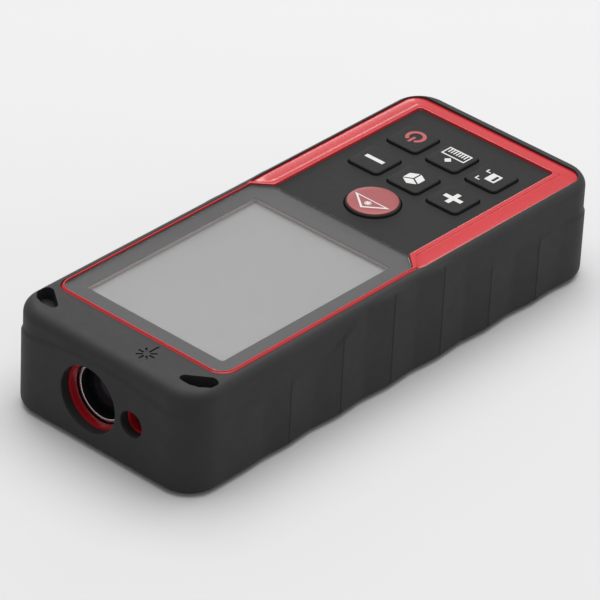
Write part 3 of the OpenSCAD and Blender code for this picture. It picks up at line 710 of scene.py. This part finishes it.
def ray(angle, end):
    """A cutter for one thin bar of the burst mark."""
    along = Vector((math.cos(angle), math.sin(angle)))
    across = Vector((-along.y, along.x)) * RAY_W / 2
    corners = [along * RAY_START - across, along * end - across,
               along * end + across, along * RAY_START + across]
    outline = [(MARK_X + c.x, MARK_Y + c.y) for c in corners]
    return prism("ray", outline, JACKET_TOP - MARK_D, JACKET_TOP + PAST)


def burst_mark():
    """Cutters for short rays all round and one long one."""
    rays = []
    for i in range(RAYS):
        angle = math.radians(90 + 360 / RAYS * i)
        rays.append(ray(angle, BEAM_END if i == BEAM_RAY else RAY_END))
    return rays


SIDES = (-1, 1)
cutters = [flared_bore("receiver_bore", RECEIVER_R, RECEIVER_X, RECEIVER_FLARE),
           flared_bore("laser_bore", LASER_R, LASER_X, LASER_FLARE)]
cutters += [corner_slot(side) for side in SIDES] + burst_mark()
shade(jacket)
# Each collar welded on here lines a slot in black rubber: painted shade for the darkness of a deeper well.
for side in SIDES:
    weld_on(jacket, shade(shade_collar(side)))
for cutter in cutters:
    cut_away(jacket, shade(cutter))
fit_piece(shade(jacket, 28), "housing", "rubber", replaces=("rubber_jacket",))
print("jacket after cutting:", len(jacket.data.polygons), "faces")


# %% [markdown]
# ## The red bezel
# Beside the keypad the bezel is a broad band: a narrow flat lip, a small step down, then a face that
# falls away to the jacket. Round the display it narrows to a thin bright line. One set of three outlines
# describes all of it, and the band's corners come out mitred because the outlines keep their order.

# %% Bezel outlines
BEZEL_TOP = box_mm("upper_shell")[1].z
BAND_OUTER_Z = BEZEL_TOP - 0.62
BAND_CURVE = 1.8
BEZEL_STEP = 0.2
DECK_SHAVE = 0.02
SEAT_D = 0.1
BEZEL_STEPS = (10, 12, 30, 6, 44, 12, 14)


def bezel_loop(rear, key_half, tail_r, cut_rear, cut_front, view_half, nose_r, front):
    """A closed loop round keypad and display, from its right half and its mirror image.

    The cut is the slanted stretch from the wide band beside the keys to the thin line round the display.
    """
    n_rear, n_tail, n_key, n_cut, n_view, n_nose, n_front = BEZEL_STEPS

    def line(a, b, n):
        return [(a[0] + (b[0] - a[0]) * i / n, a[1] + (b[1] - a[1]) * i / n) for i in range(n)]

    def arc(cx, cy, r, start, n):
        angles = [math.radians(start + 90 * i / n) for i in range(n)]
        return [(cx + r * math.cos(a), cy + r * math.sin(a)) for a in angles]

    right = line((0, rear), (key_half - tail_r, rear), n_rear)
    right += arc(key_half - tail_r, rear + tail_r, tail_r, -90, n_tail)
    right += line((key_half, rear + tail_r), (key_half, cut_rear), n_key)
    right += line((key_half, cut_rear), (view_half, cut_front), n_cut)
    right += line((view_half, cut_front), (view_half, front - nose_r), n_view)
    right += arc(view_half - nose_r, front - nose_r, nose_r, 0, n_nose)
    right += line((view_half - nose_r, front), (0, front), n_front)
    right.append((0, front))
    left = [(-x, y) for x, y in reversed(right[1:-1])]
    return right + left


CREASE_CUT = -5.7
outer_edge = bezel_loop(rear=BEZEL_REAR, key_half=BEZEL_HALF, tail_r=BEZEL_R, cut_rear=-8.0, cut_front=-5.3,
                        view_half=BEZEL_HALF, nose_r=BEZEL_R, front=BEZEL_FRONT)
crease = bezel_loop(rear=-52.2, key_half=18.5, tail_r=1.2, cut_rear=-9.0, cut_front=CREASE_CUT,
                    view_half=21.55, nose_r=3.1, front=47.8)
BEZEL_OUT = [tucked(x, y) for x, y in outer_edge]
BEZEL_CREASE = [tucked(x, y) if y > CREASE_CUT else (x, y) for x, y in crease]
BEZEL_IN = bezel_loop(rear=-51.06, key_half=17.38, tail_r=0.9, cut_rear=-8.3, cut_front=-5.25,
                      view_half=20.93, nose_r=2.66, front=47.16)
print("points in a bezel outline:", len(BEZEL_OUT))


# %% [markdown]
# ## Skinning the bezel
# The edges are rounded with two or three extra rows each, and the band falls away more and more steeply
# towards the jacket. A glossy part lives by its highlights, and a highlight needs a rounded surface to
# sit on.

# %% Build the bezel
def level(loop, z):
    """A flat loop lifted to one height."""
    return [(x, y, z) for x, y in loop]


def build_bezel():
    """Rows from the seat up the inner wall, over the lip and the step, and down the band to the seat."""
    def between(a, b, t, z):
        return [(p[0] + (q[0] - p[0]) * t, p[1] + (q[1] - p[1]) * t, z) for p, q in zip(a, b)]

    lip = BEZEL_TOP
    band = BEZEL_TOP - BEZEL_STEP
    rows = [level(BEZEL_IN, DECK_TOP - SEAT_D), level(BEZEL_IN, lip - 0.14)]
    rows += [between(BEZEL_IN, BEZEL_CREASE, 0.04, lip - 0.04), between(BEZEL_IN, BEZEL_CREASE, 0.14, lip)]
    rows += [between(BEZEL_IN, BEZEL_CREASE, 0.84, lip), between(BEZEL_IN, BEZEL_CREASE, 0.95, lip - 0.04)]
    rows += [level(BEZEL_CREASE, band + 0.04), between(BEZEL_CREASE, BEZEL_OUT, 0.03, band)]
    outer = BAND_OUTER_Z
    for t in (0.2, 0.4, 0.6, 0.8, 0.92):
        rows.append(between(BEZEL_CREASE, BEZEL_OUT, t, band + (outer - band) * t ** BAND_CURVE))
    rows += [between(BEZEL_CREASE, BEZEL_OUT, 0.985, outer - 0.02), level(BEZEL_OUT, outer - 0.16)]
    rows += [level(BEZEL_OUT, DECK_TOP - SEAT_D)]
    rows.reverse()
    return skin_loops("bezel", rows, closed=True)


bezel = build_bezel()


def lower_part(node, z_cut):
    """A copy of the part of a CAD node that lies below a height, closed with a flat cap."""
    edit = bmesh.new()
    edit.from_mesh(frame["nodes"][node].data)
    bmesh.ops.remove_doubles(edit, verts=edit.verts, dist=MERGE)
    geometry = edit.verts[:] + edit.edges[:] + edit.faces[:]
    cut = bmesh.ops.bisect_plane(edit, geom=geometry, plane_co=(0, 0, z_cut * MM), plane_no=(0, 0, 1),
                                 clear_outer=True)
    rim = [e for e in cut["geom_cut"] if isinstance(e, bmesh.types.BMEdge)]
    bmesh.ops.triangle_fill(edit, edges=rim, use_beauty=True)
    return piece_from_edit(node + "_below", edit)


red_shell = weld_on(shade(lower_part("upper_shell", DECK_TOP - DECK_SHAVE), 28), shade(bezel, 28))
red_shell.name = red_shell.data.name = "red_shell"
pockets = [shade(corner_slot(side, SHADE_COLLAR_GROW + POCKET_GAP, POCKET_SINK)) for side in SIDES]
cut_away(shade(red_shell, 28), join_pieces("slot_pockets", pockets))
fit_piece(shade(red_shell, 28), "housing", "red_plastic", replaces=("upper_shell",))
print("red shell:", len(red_shell.data.polygons), "faces")


# %% [markdown]
# ## Softening moulded parts
# A CAD solid has knife edges, and nothing moulded or cast has. This helper copies a node's mesh, merges
# the flat triangles back into whole faces, and bevels every edge that turns sharply. The CAD mesh itself
# is left alone.

# %% Softened copies of CAD nodes
FLAT_ANGLE = math.radians(0.6)


def round_edges(piece, width, sharp_degrees):
    """Bevels every edge that turns by more than the angle. The width is in millimetres."""
    bevel = piece.modifiers.new("soft edge", "BEVEL")
    bevel.width = width * MM
    bevel.segments = 2
    bevel.limit_method = "ANGLE"
    bevel.angle_limit = math.radians(sharp_degrees)
    bpy.context.view_layer.update()
    return apply_modifiers(piece)


def softened(node, width):
    """A copy of a CAD node with rounded edges."""
    edit = bmesh.new()
    edit.from_mesh(frame["nodes"][node].data)
    bmesh.ops.remove_doubles(edit, verts=edit.verts, dist=MERGE)
    bmesh.ops.dissolve_limit(edit, angle_limit=FLAT_ANGLE, verts=edit.verts, edges=edit.edges)
    piece = round_edges(piece_from_edit(node + "_soft", edit), width, 38)
    return flatten(shade(piece, 40))


BODIES = frame["record"]["behaviour"]["bodies"]
BODY_OF = {node: body for body, members in BODIES.items() for node in members}
SOFT_EDGES = {
    "lower_shell": 0.12, "cover_latch": 0.12, "lcd_holder": 0.04, "optics_chassis": 0.03,
    "main_board": 0.05, "receiver_board": 0.05, "board_components": 0.06, "battery_contacts": 0.05,
    "battery_pad": 0.08, "buzzer": 0.1, "receiver_baffle": 0.06, "laser_barrel": 0.08,
    "rating_label": 0.02, "shell_screws": 0.08, "board_screws": 0.06, "optics_screws": 0.06,
    "battery_left": 0.3, "battery_right": 0.3, "laser_diode": 0.03, "light_detector": 0.08,
}
for node, width in SOFT_EDGES.items():
    fit_piece(softened(node, width), BODY_OF[node], SLOTS[node], replaces=(node,))
print("softened copies:", len(SOFT_EDGES))


# %% [markdown]
# ## The receiving lens and its ring
# The big port ends in a bulging lens held by a bright steel ring. Both are turned parts. Merged CAD
# facets would make the ring's highlight wobble, so the two are turned again here on a profile with many
# steps. The ring's inner wall is blackened, as it is in most optics, which leaves one thin bright line in
# front of the dark lens.

# %% Turn the lens and the ring
RING_LOW, RING_HIGH = box_mm("lens_ring")
LENS_LOW, LENS_HIGH = box_mm("receiver_lens")
RING_X = (RING_LOW.x + RING_HIGH.x) / 2
RING_R = (RING_HIGH.x - RING_LOW.x) / 2
RING_T = 0.6
RING_LIP = 0.15
LENS_R = (LENS_HIGH.x - LENS_LOW.x) / 2
LENS_SAG = 1.1
RING_SOFT = 0.1
RING_STEPS = 128
LENS_ROWS = 17


def ring_section(outer, inner, y0, y1, soft):
    """Closed section of a ring: corners cut at the back, rounded at the front."""
    cut = soft * 0.3
    return [(inner + soft, y0), (outer - soft, y0), (outer, y0 + soft), (outer, y1 - soft),
            (outer - cut, y1 - cut), (outer - soft, y1), (inner + soft, y1),
            (inner + cut, y1 - cut), (inner, y1 - soft), (inner, y0 + soft)]


def on_inner_wall(face):
    """True for the faces of the ring's bore behind its bright lip."""
    x, y, z = face.center / MM
    near_bore = math.hypot(x - RING_X, z - AXIS_Z) < RING_R - RING_T * 0.9
    return near_bore and y < RING_HIGH.y - RING_LIP


section = ring_section(RING_R, RING_R - RING_T, RING_LOW.y, RING_HIGH.y, RING_SOFT)
ring = turned("port_ring", section, RING_X, AXIS_Z, RING_STEPS, closed=True)
fit_piece(shade(ring, 50), "housing", "steel", replaces=("lens_ring",))
second_finish(ring, "black_plastic", on_inner_wall)
radii = [LENS_R * (i + 0.5) / (LENS_ROWS - 0.5) for i in range(LENS_ROWS)]
back_face = [(r, LENS_LOW.y + LENS_SAG * (r / LENS_R) ** 2) for r in radii]
front_face = [(r, LENS_HIGH.y - LENS_SAG * (r / LENS_R) ** 2) for r in reversed(radii)]
lens = turned("port_lens", back_face + front_face, RING_X, AXIS_Z)
# The lens is opaque: its near-black colour is painted shade for the dark inside of the meter seen through
# the glass.
fit_piece(shade(lens, 50), "housing", "optical_glass", replaces=("receiver_lens",))
print("lens radius and ring radius:", round(LENS_R, 2), round(RING_R, 2), "mm")


# %% [markdown]
# ## The window
# The window is one clear acrylic sheet over a dark printed border that is open over the display. It is
# skinned from its own outline, which has two cut corners at the keypad end, with a fine chamfer all
# round. Its rim carries the dark print too. It casts no shadow, because clear sheet over a display takes
# away almost no light.

# %% Build the window
WINDOW_CUT = 3.0
CUT_SLANT = 1.17
WINDOW_NOSE_R = 2.6
NOSE_STEPS = 12
SAME_POINT = 1e-4
EDGE_ON = 0.9


def window_outline(inset):
    """Counter-clockwise, with two cut corners at the rear and two round ones at the front."""
    half = WINDOW_HIGH.x - inset
    rear = WINDOW_LOW.y + inset
    nose_y = WINDOW_HIGH.y - inset - WINDOW_NOSE_R
    cut_x = half - WINDOW_CUT * CUT_SLANT
    loop = [(cut_x, rear), (half, rear + WINDOW_CUT), (half, nose_y)]
    for cx, start in ((half - WINDOW_NOSE_R, 0), (-half + WINDOW_NOSE_R, 90)):
        for part in even_steps(NOSE_STEPS):
            a = math.radians(start + 90 * part)
            loop.append((cx + WINDOW_NOSE_R * math.cos(a), nose_y + WINDOW_NOSE_R * math.sin(a)))
    loop += [(-half, nose_y), (-half, rear + WINDOW_CUT), (-cut_x, rear)]
    return [p for i, p in enumerate(loop) if i == 0 or math.dist(p, loop[i - 1]) > SAME_POINT]


def build_window():
    """The sheet as a stack of outlines. A row well inside each face keeps the face's shading flat."""
    top, bottom = WINDOW_HIGH.z, WINDOW_LOW.z
    profile = [(0.5, bottom), (0.1, bottom), (0.02, bottom + 0.03), (0.0, bottom + 0.1),
               (0.0, top - 0.07), (0.02, top - 0.02), (0.07, top), (0.5, top)]
    return skin_loops("window_pane", [level(window_outline(inset), z) for inset, z in profile])


window = build_window()
fit_piece(flatten(shade(window)), "housing", "window_glass", replaces=("display_window",))
second_finish(window, "black_print", lambda face: abs(face.normal.z) < EDGE_ON)
window.visible_shadow = False
window.visible_diffuse = False
print("window:", [round(v, 2) for v in (WINDOW_HIGH - WINDOW_LOW)], "mm")


# %% [markdown]
# ## Keys
# A key is a soft square block with a rounded rim and a slightly raised middle. The square is a rounded
# loop that is skinned from flange to top. The same function makes the round measuring button, whose loop
# is a circle.

# %% Build the keys
KEYS = ("plus_key", "volume_key", "minus_key", "unit_key", "area_key", "power_key")
KEY_SIZE = 7.9
KEY_R = 1.1
SHARPEST_R = 0.12
KEY_RIM = 0.3
KEY_BOTTOM = 20.05
FLANGE = 0.5
FLANGE_TOP = 20.65
CROWN = 0.05
DRAFT = 0.06
RIM_STEPS = 6


def square_loop(half, r, cx, cy):
    """A rounded square about a place."""
    return [(x + cx, y + cy) for x, y, nx, ny in rounded_loop(half, -half, half, r, r, even_steps(8))]


def circle_loop(r, cx, cy, steps=72):
    """A circle about a place."""
    angles = [2 * math.pi * i / steps for i in range(steps)]
    return [(cx + r * math.cos(a), cy + r * math.sin(a)) for a in angles]


def key_rows(loop_at, r, top, rim):
    """Rows from the flange's underside up over the rim to the crown. loop_at(inset) gives an outline."""
    rows = [(-FLANGE + 0.06, KEY_BOTTOM), (-FLANGE, KEY_BOTTOM + 0.08), (-FLANGE, FLANGE_TOP - 0.06),
            (-FLANGE + 0.06, FLANGE_TOP), (-0.02, FLANGE_TOP), (0.0, FLANGE_TOP + 0.05)]
    rows += [(DRAFT, top - rim - 0.02)]
    for part in even_steps(RIM_STEPS)[1:]:
        a = math.radians(90 * part)
        rows.append((DRAFT + rim * (1 - math.cos(a)), top - rim - CROWN + rim * math.sin(a)))
    for t in (0.3, 0.6, 0.85):
        rows.append((rim + DRAFT + (r - rim) * t, top - CROWN * (1 - t) ** 2))
    return [level(loop_at(inset), z) for inset, z in rows]


def build_key(node):
    """A keycap over its CAD key, and the middle of its top."""
    low, high = box_mm(node)
    cx, cy = (low.x + high.x) / 2, (low.y + high.y) / 2
    half = KEY_SIZE / 2

    def loop_at(inset):
        r = max(KEY_R - inset, SHARPEST_R)
        return square_loop(half - inset, min(r, half - inset - 0.01), cx, cy)

    rows = key_rows(loop_at, half, high.z, KEY_RIM)
    return skin_loops(node.replace("_key", "_keycap"), rows), Vector((cx, cy, high.z))


key_tops = {}
for node in KEYS:
    cap, key_tops[node] = build_key(node)
    fit_piece(shade(cap, 50), node, "key_rubber", replaces=(node,))
print("key places:", {n: (round(p.x, 2), round(p.y, 2)) for n, p in key_tops.items()})

# %% [markdown]
# ## The measuring button
# The big round button is a black skirt with a red cap let into it. The cap is a shallow disc with a soft
# rim.

# %% Build the measuring button
CAP_LOW, CAP_HIGH = box_mm("measure_cap")
BUTTON_X = (CAP_LOW.x + CAP_HIGH.x) / 2
BUTTON_Y = (CAP_LOW.y + CAP_HIGH.y) / 2
CAP_R = (CAP_HIGH.x - CAP_LOW.x) / 2
CAP_TOP = CAP_HIGH.z - 0.04
CAP_RISE = 0.2
SKIRT_R = 5.5
SKIRT_RIM = 0.25


def skirt_loop(inset):
    """The skirt's circle, moved inward."""
    return circle_loop(SKIRT_R - inset, BUTTON_X, BUTTON_Y)


skirt = skin_loops("button_skirt", key_rows(skirt_loop, SKIRT_R, CAP_TOP - CAP_RISE, SKIRT_RIM))
fit_piece(shade(skirt, 50), "measure", "key_rubber", replaces=("measure_button",))

cap_profile = [(0.1, CAP_TOP - 0.35), (0.0, CAP_TOP - 0.3), (0.0, CAP_TOP - 0.14), (0.03, CAP_TOP - 0.05),
               (0.12, CAP_TOP), (1.5, CAP_TOP - 0.01), (3.2, CAP_TOP - 0.03), (4.6, CAP_TOP - 0.04)]
cap_loops = [level(circle_loop(CAP_R - inset, BUTTON_X, BUTTON_Y), z) for inset, z in cap_profile]
button_cap = skin_loops("button_cap", cap_loops)
fit_piece(shade(button_cap, 50), "measure", "red_plastic", "cap_red", replaces=("measure_cap",))
print("button radius:", round(CAP_R, 2), "mm")

# %% [markdown]
# ## Printed marks
# The marks are ink, a few hundredths of a millimetre thick. They are made as very thin plates, because
# ink with a real edge stays crisp from any distance, and a plate moves with its key. The marks are plain
# pictograms: plus, minus, a box for volume, a ruler for length, a device with arrows for units, and a
# power ring.

# %% Ink plates
BOX_R = 2.025
BOX_SPREAD = 0.2
SIXTH_TURN = math.radians(60)
INK_TOP = 0.02
INK_ROOT = 0.06


def ink(name, shapes, centre, body, finish_name):
    """Thin plates from outlines given about the key's centre."""
    plates = []
    for shape in shapes:
        area = sum(a[0] * b[1] - b[0] * a[1] for a, b in zip(shape, shape[1:] + shape[:1]))
        outline = shape if area > 0 else shape[::-1]
        outline = [(x + centre.x, y + centre.y) for x, y in outline]
        plates.append(shade(prism(name + "_plate", outline, centre.z - INK_ROOT, centre.z + INK_TOP)))
    piece = plates[0]
    for plate in plates[1:]:
        weld_on(piece, plate)
    piece.name = piece.data.name = name
    return fit_piece(shade(piece), body, "key_rubber", finish_name)


def bar(x0, y0, x1, y1, width):
    """A straight stroke between two points."""
    along = Vector((x1 - x0, y1 - y0)).normalized()
    across = Vector((-along.y, along.x)) * width / 2
    return [(x0 - across.x, y0 - across.y), (x1 - across.x, y1 - across.y),
            (x1 + across.x, y1 + across.y), (x0 + across.x, y0 + across.y)]


def ring_part(r, width, start, end, steps=28):
    """A stroke along an arc, in degrees."""
    angles = [math.radians(start + (end - start) * i / steps) for i in range(steps + 1)]
    outer = [((r + width / 2) * math.cos(a), (r + width / 2) * math.sin(a)) for a in angles]
    inner = [((r - width / 2) * math.cos(a), (r - width / 2) * math.sin(a)) for a in reversed(angles)]
    return outer + inner


def moved(shape, dx, dy):
    """The same outline somewhere else."""
    return [(x + dx, y + dy) for x, y in shape]


def box_faces():
    """Three faces of a cube seen from its corner, with a gap between them."""
    faces = []
    for k in range(3):
        a = math.radians(90 + 120 * k)
        rim = [(BOX_R * math.cos(b), BOX_R * math.sin(b)) for b in (a - SIXTH_TURN, a, a + SIXTH_TURN)]
        faces.append(moved([(0.0, 0.0)] + rim, BOX_SPREAD * math.cos(a), BOX_SPREAD * math.sin(a)))
    return faces


plus = [bar(-2.2, 0, 2.2, 0, 1.05), bar(0, 0.5, 0, 1.95, 1.05), bar(0, -1.95, 0, -0.5, 1.05)]
minus = [bar(-2.3, 0, 2.3, 0, 1.0)]
ruler = [bar(-2.9, -2.7, 2.9, -2.7, 0.35), bar(-2.9, -0.1, 2.9, -0.1, 0.35)]
ruler += [bar(x, -2.6, x, -0.2, 0.3) for x in (-2.75, 2.75)]
ruler += [bar(x, -2.55, x, -1.1, 0.3) for x in (-2.0, -1.33, -0.67, 0.0, 0.67, 1.33, 2.0)]
ruler += [[(-0.85, 1.35), (0.0, 0.45), (0.85, 1.35), (0.0, 2.25)]]
device = [bar(-1.75, -1.15, 0.65, -1.15, 0.45), bar(-1.75, 1.3, 0.65, 1.3, 0.45),
          bar(-1.55, -1.0, -1.55, 1.2, 0.45), bar(0.0, -1.0, 0.0, 1.2, 1.35)]
device += [bar(1.1, -1.0, 2.2, -1.0, 0.3), bar(2.1, -1.9, 2.1, -0.9, 0.3)]
device += [bar(1.1, 2.4, 2.2, 2.4, 0.3), bar(2.1, 1.4, 2.1, 2.4, 0.3)]
power = [ring_part(1.75, 0.8, -62, 242), bar(0, -2.35, 0, -0.2, 0.6)]
power = [moved([(x, -y) for x, y in s], 0.0, -0.75) for s in power]

KEY_MARKS = {
    "plus_key": ("plus_mark", plus, "white_ink"),
    "minus_key": ("minus_mark", minus, "white_ink"),
    "volume_key": ("volume_mark", box_faces(), "white_ink"),
    "area_key": ("ruler_mark", ruler, "white_ink"),
    "unit_key": ("device_mark", device, "white_ink"),
    "power_key": ("power_mark", power, "red_ink"),
}
for node, (name, shapes, ink_name) in KEY_MARKS.items():
    ink(name, shapes, key_tops[node], node, ink_name)
print("key marks:", len(KEY_MARKS))

# %% [markdown]
# ## The mark on the measuring button
# The cap carries a triangle in outline with a small spark in it, a common sign for a laser beam. The outline
# is three strokes that meet in mitred corners, and the spark is four thin strokes that cross.

# %% Print the button's mark
SPARK_R = 0.75
SPARK_Y = 1.5
SPARK_W = 0.26
SPARK_BARS = 4


def spark_bar(k):
    """One of the spark's crossing strokes."""
    a = math.radians(180 / SPARK_BARS * k)
    x, y = SPARK_R * math.cos(a), SPARK_R * math.sin(a)
    return moved(bar(-x, -y, x, y, SPARK_W), 0.0, SPARK_Y)


outer = [(0.0, 3.65), (-4.45, 0.15), (4.45, 0.15)]
inner = [(0.0, 3.1), (-3.5, 0.4), (3.5, 0.4)]
sides = [[outer[i - 1], outer[i], inner[i], inner[i - 1]] for i in (1, 2, 0)]
cap_centre = Vector((BUTTON_X, BUTTON_Y, CAP_TOP))
strokes = sides + [spark_bar(k) for k in range(SPARK_BARS)]
ink("button_mark", strokes, cap_centre, "measure", "white_ink")
print("strokes in the button's mark:", len(strokes))

# %% [markdown]
# ## The keypad plate
# The plate is a thin black sheet with a hole for each key. It is skinned as a slab, the holes are cut
# through it, and a small bevel softens every edge, so that each key sits in its own dark gap.

# %% Build the keypad plate
KEY_GAP = 0.2
PLATE_TAIL_R = 1.0
PLATE_NOSE_R = 0.3
PLATE_SOFT = 0.12


def build_plate():
    """The slab with its seven holes."""
    loop = rounded_loop(PLATE_HIGH.x, PLATE_LOW.y, PLATE_HIGH.y, PLATE_TAIL_R, PLATE_NOSE_R, even_steps(24))
    slab = skin_loops("keypad_sheet", [at_height(loop, PLATE_LOW.z), at_height(loop, PLATE_HIGH.z)])
    outlines = [square_loop(KEY_SIZE / 2 + KEY_GAP, KEY_R + KEY_GAP, top.x, top.y)
                for top in key_tops.values()]
    outlines.append(skirt_loop(-KEY_GAP))
    holes = [shade(prism("hole", outline, PLATE_LOW.z - PAST, PLATE_HIGH.z + PAST)) for outline in outlines]
    cut_away(shade(slab), join_pieces("plate_holes", holes))
    return round_edges(slab, PLATE_SOFT, 50)


keypad_sheet = build_plate()
fit_piece(flatten(shade(keypad_sheet, 40)), "housing", "black_plastic", replaces=("keypad_plate",))
print("keypad plate:", len(keypad_sheet.data.polygons), "faces")

# %% [markdown]
# ## The floor
# The meter lies on a plain pale sheet, a hair below its feet so that no two faces share a plane.

# %% Lay the floor
FLOOR_HALF = 3000.0
FLOOR_DROP = 0.0002
corners = [(-FLOOR_HALF, -FLOOR_HALF, 0), (FLOOR_HALF, -FLOOR_HALF, 0),
           (FLOOR_HALF, FLOOR_HALF, 0), (-FLOOR_HALF, FLOOR_HALF, 0)]
floor = new_piece("floor", corners, [(0, 1, 2, 3)])
floor.location.z = -FLOOR_DROP
sweep = finish("paper sweep", (0.50, 0.50, 0.50), 0.75, 0.0, 900, 0.012, 6, 0.02, specular=0.2)
floor.data.materials.append(sweep)
print("floor:", round(2 * FLOOR_HALF * MM, 1), "m square")

# %% [markdown]
# ## Light
# A broad soft light hangs above and a little behind, so the top faces are the brightest and the end with
# the ports is the darkest. A weak one from the side keeps the ridges of the grip readable. A small card
# low behind the meter gives the far side of the red band its pale streak. The pale room around it all
# lifts the shadows. The card has a known fault: seen from low over the ports, the flat window mirrors it
# and turns white.

# %% Set the lights
WORLD_STRENGTH = 0.55

world = bpy.data.worlds.new("studio")
bpy.context.scene.world = world
world.use_nodes = True
room = world.node_tree.nodes["Background"]
room.inputs["Color"].default_value = (1.0, 1.0, 1.0, 1.0)
room.inputs["Strength"].default_value = WORLD_STRENGTH


def softbox(name, place, aim, size, power):
    """A rectangular light that faces a point. Sizes in metres, power in watts."""
    data = bpy.data.lights.new(name, "AREA")
    data.shape = "RECTANGLE"
    data.size, data.size_y = size
    data.energy = power
    light = linked(name, data)
    light.location = place
    light.rotation_euler = (Vector(aim) - Vector(place)).to_track_quat("-Z", "Y").to_euler()


softbox("overhead", (0.15, -0.25, 1.2), (0, 0, 0), (1.4, 1.4), 24.5)
softbox("grip side", (-0.75, -0.85, 0.22), (0, 0, 0.01), (0.5, 0.3), 1.2)
softbox("rear card", (0.59, -0.50, 0.15), (0, 0, 0.02), (0.26, 0.2), 0.45)

# %% [markdown]
# ## Camera
# A long lens from almost a metre away keeps the meter's edges nearly parallel. The camera stands beyond
# the end with the ports, 33 degrees above the floor, and is rolled by three degrees.

# %% Place the camera
AZIMUTH = math.radians(-139.104)
ELEVATION = math.radians(32.774)
ROLL = math.radians(2.897)
AIM = Vector((-2.36, 5.27, 11.15)) * MM
DISTANCE = 0.90083
LENS = 283.8

level_out = Vector((math.sin(AZIMUTH), -math.cos(AZIMUTH), 0))
back = level_out * math.cos(ELEVATION) + Vector((0, 0, 1)) * math.sin(ELEVATION)
level_right = Vector((0, 0, 1)).cross(back).normalized()
level_up = back.cross(level_right)
right = level_right * math.cos(ROLL) + level_up * math.sin(ROLL)
up = back.cross(right)
camera_data = bpy.data.cameras.new("camera")
camera_data.lens = LENS
camera_data.sensor_width = 36.0
camera_data.clip_start = 0.01
camera_data.dof.use_dof = False
camera = linked("camera", camera_data)
axes = Matrix((right, up, back)).transposed().to_4x4()
camera.matrix_world = Matrix.Translation(AIM + back * DISTANCE) @ axes
bpy.context.scene.camera = camera
bpy.context.scene.view_settings.view_transform = "Standard"
print("camera at", [round(v, 4) for v in camera.matrix_world.translation])

# %% Update the scene
bpy.context.view_layer.update()
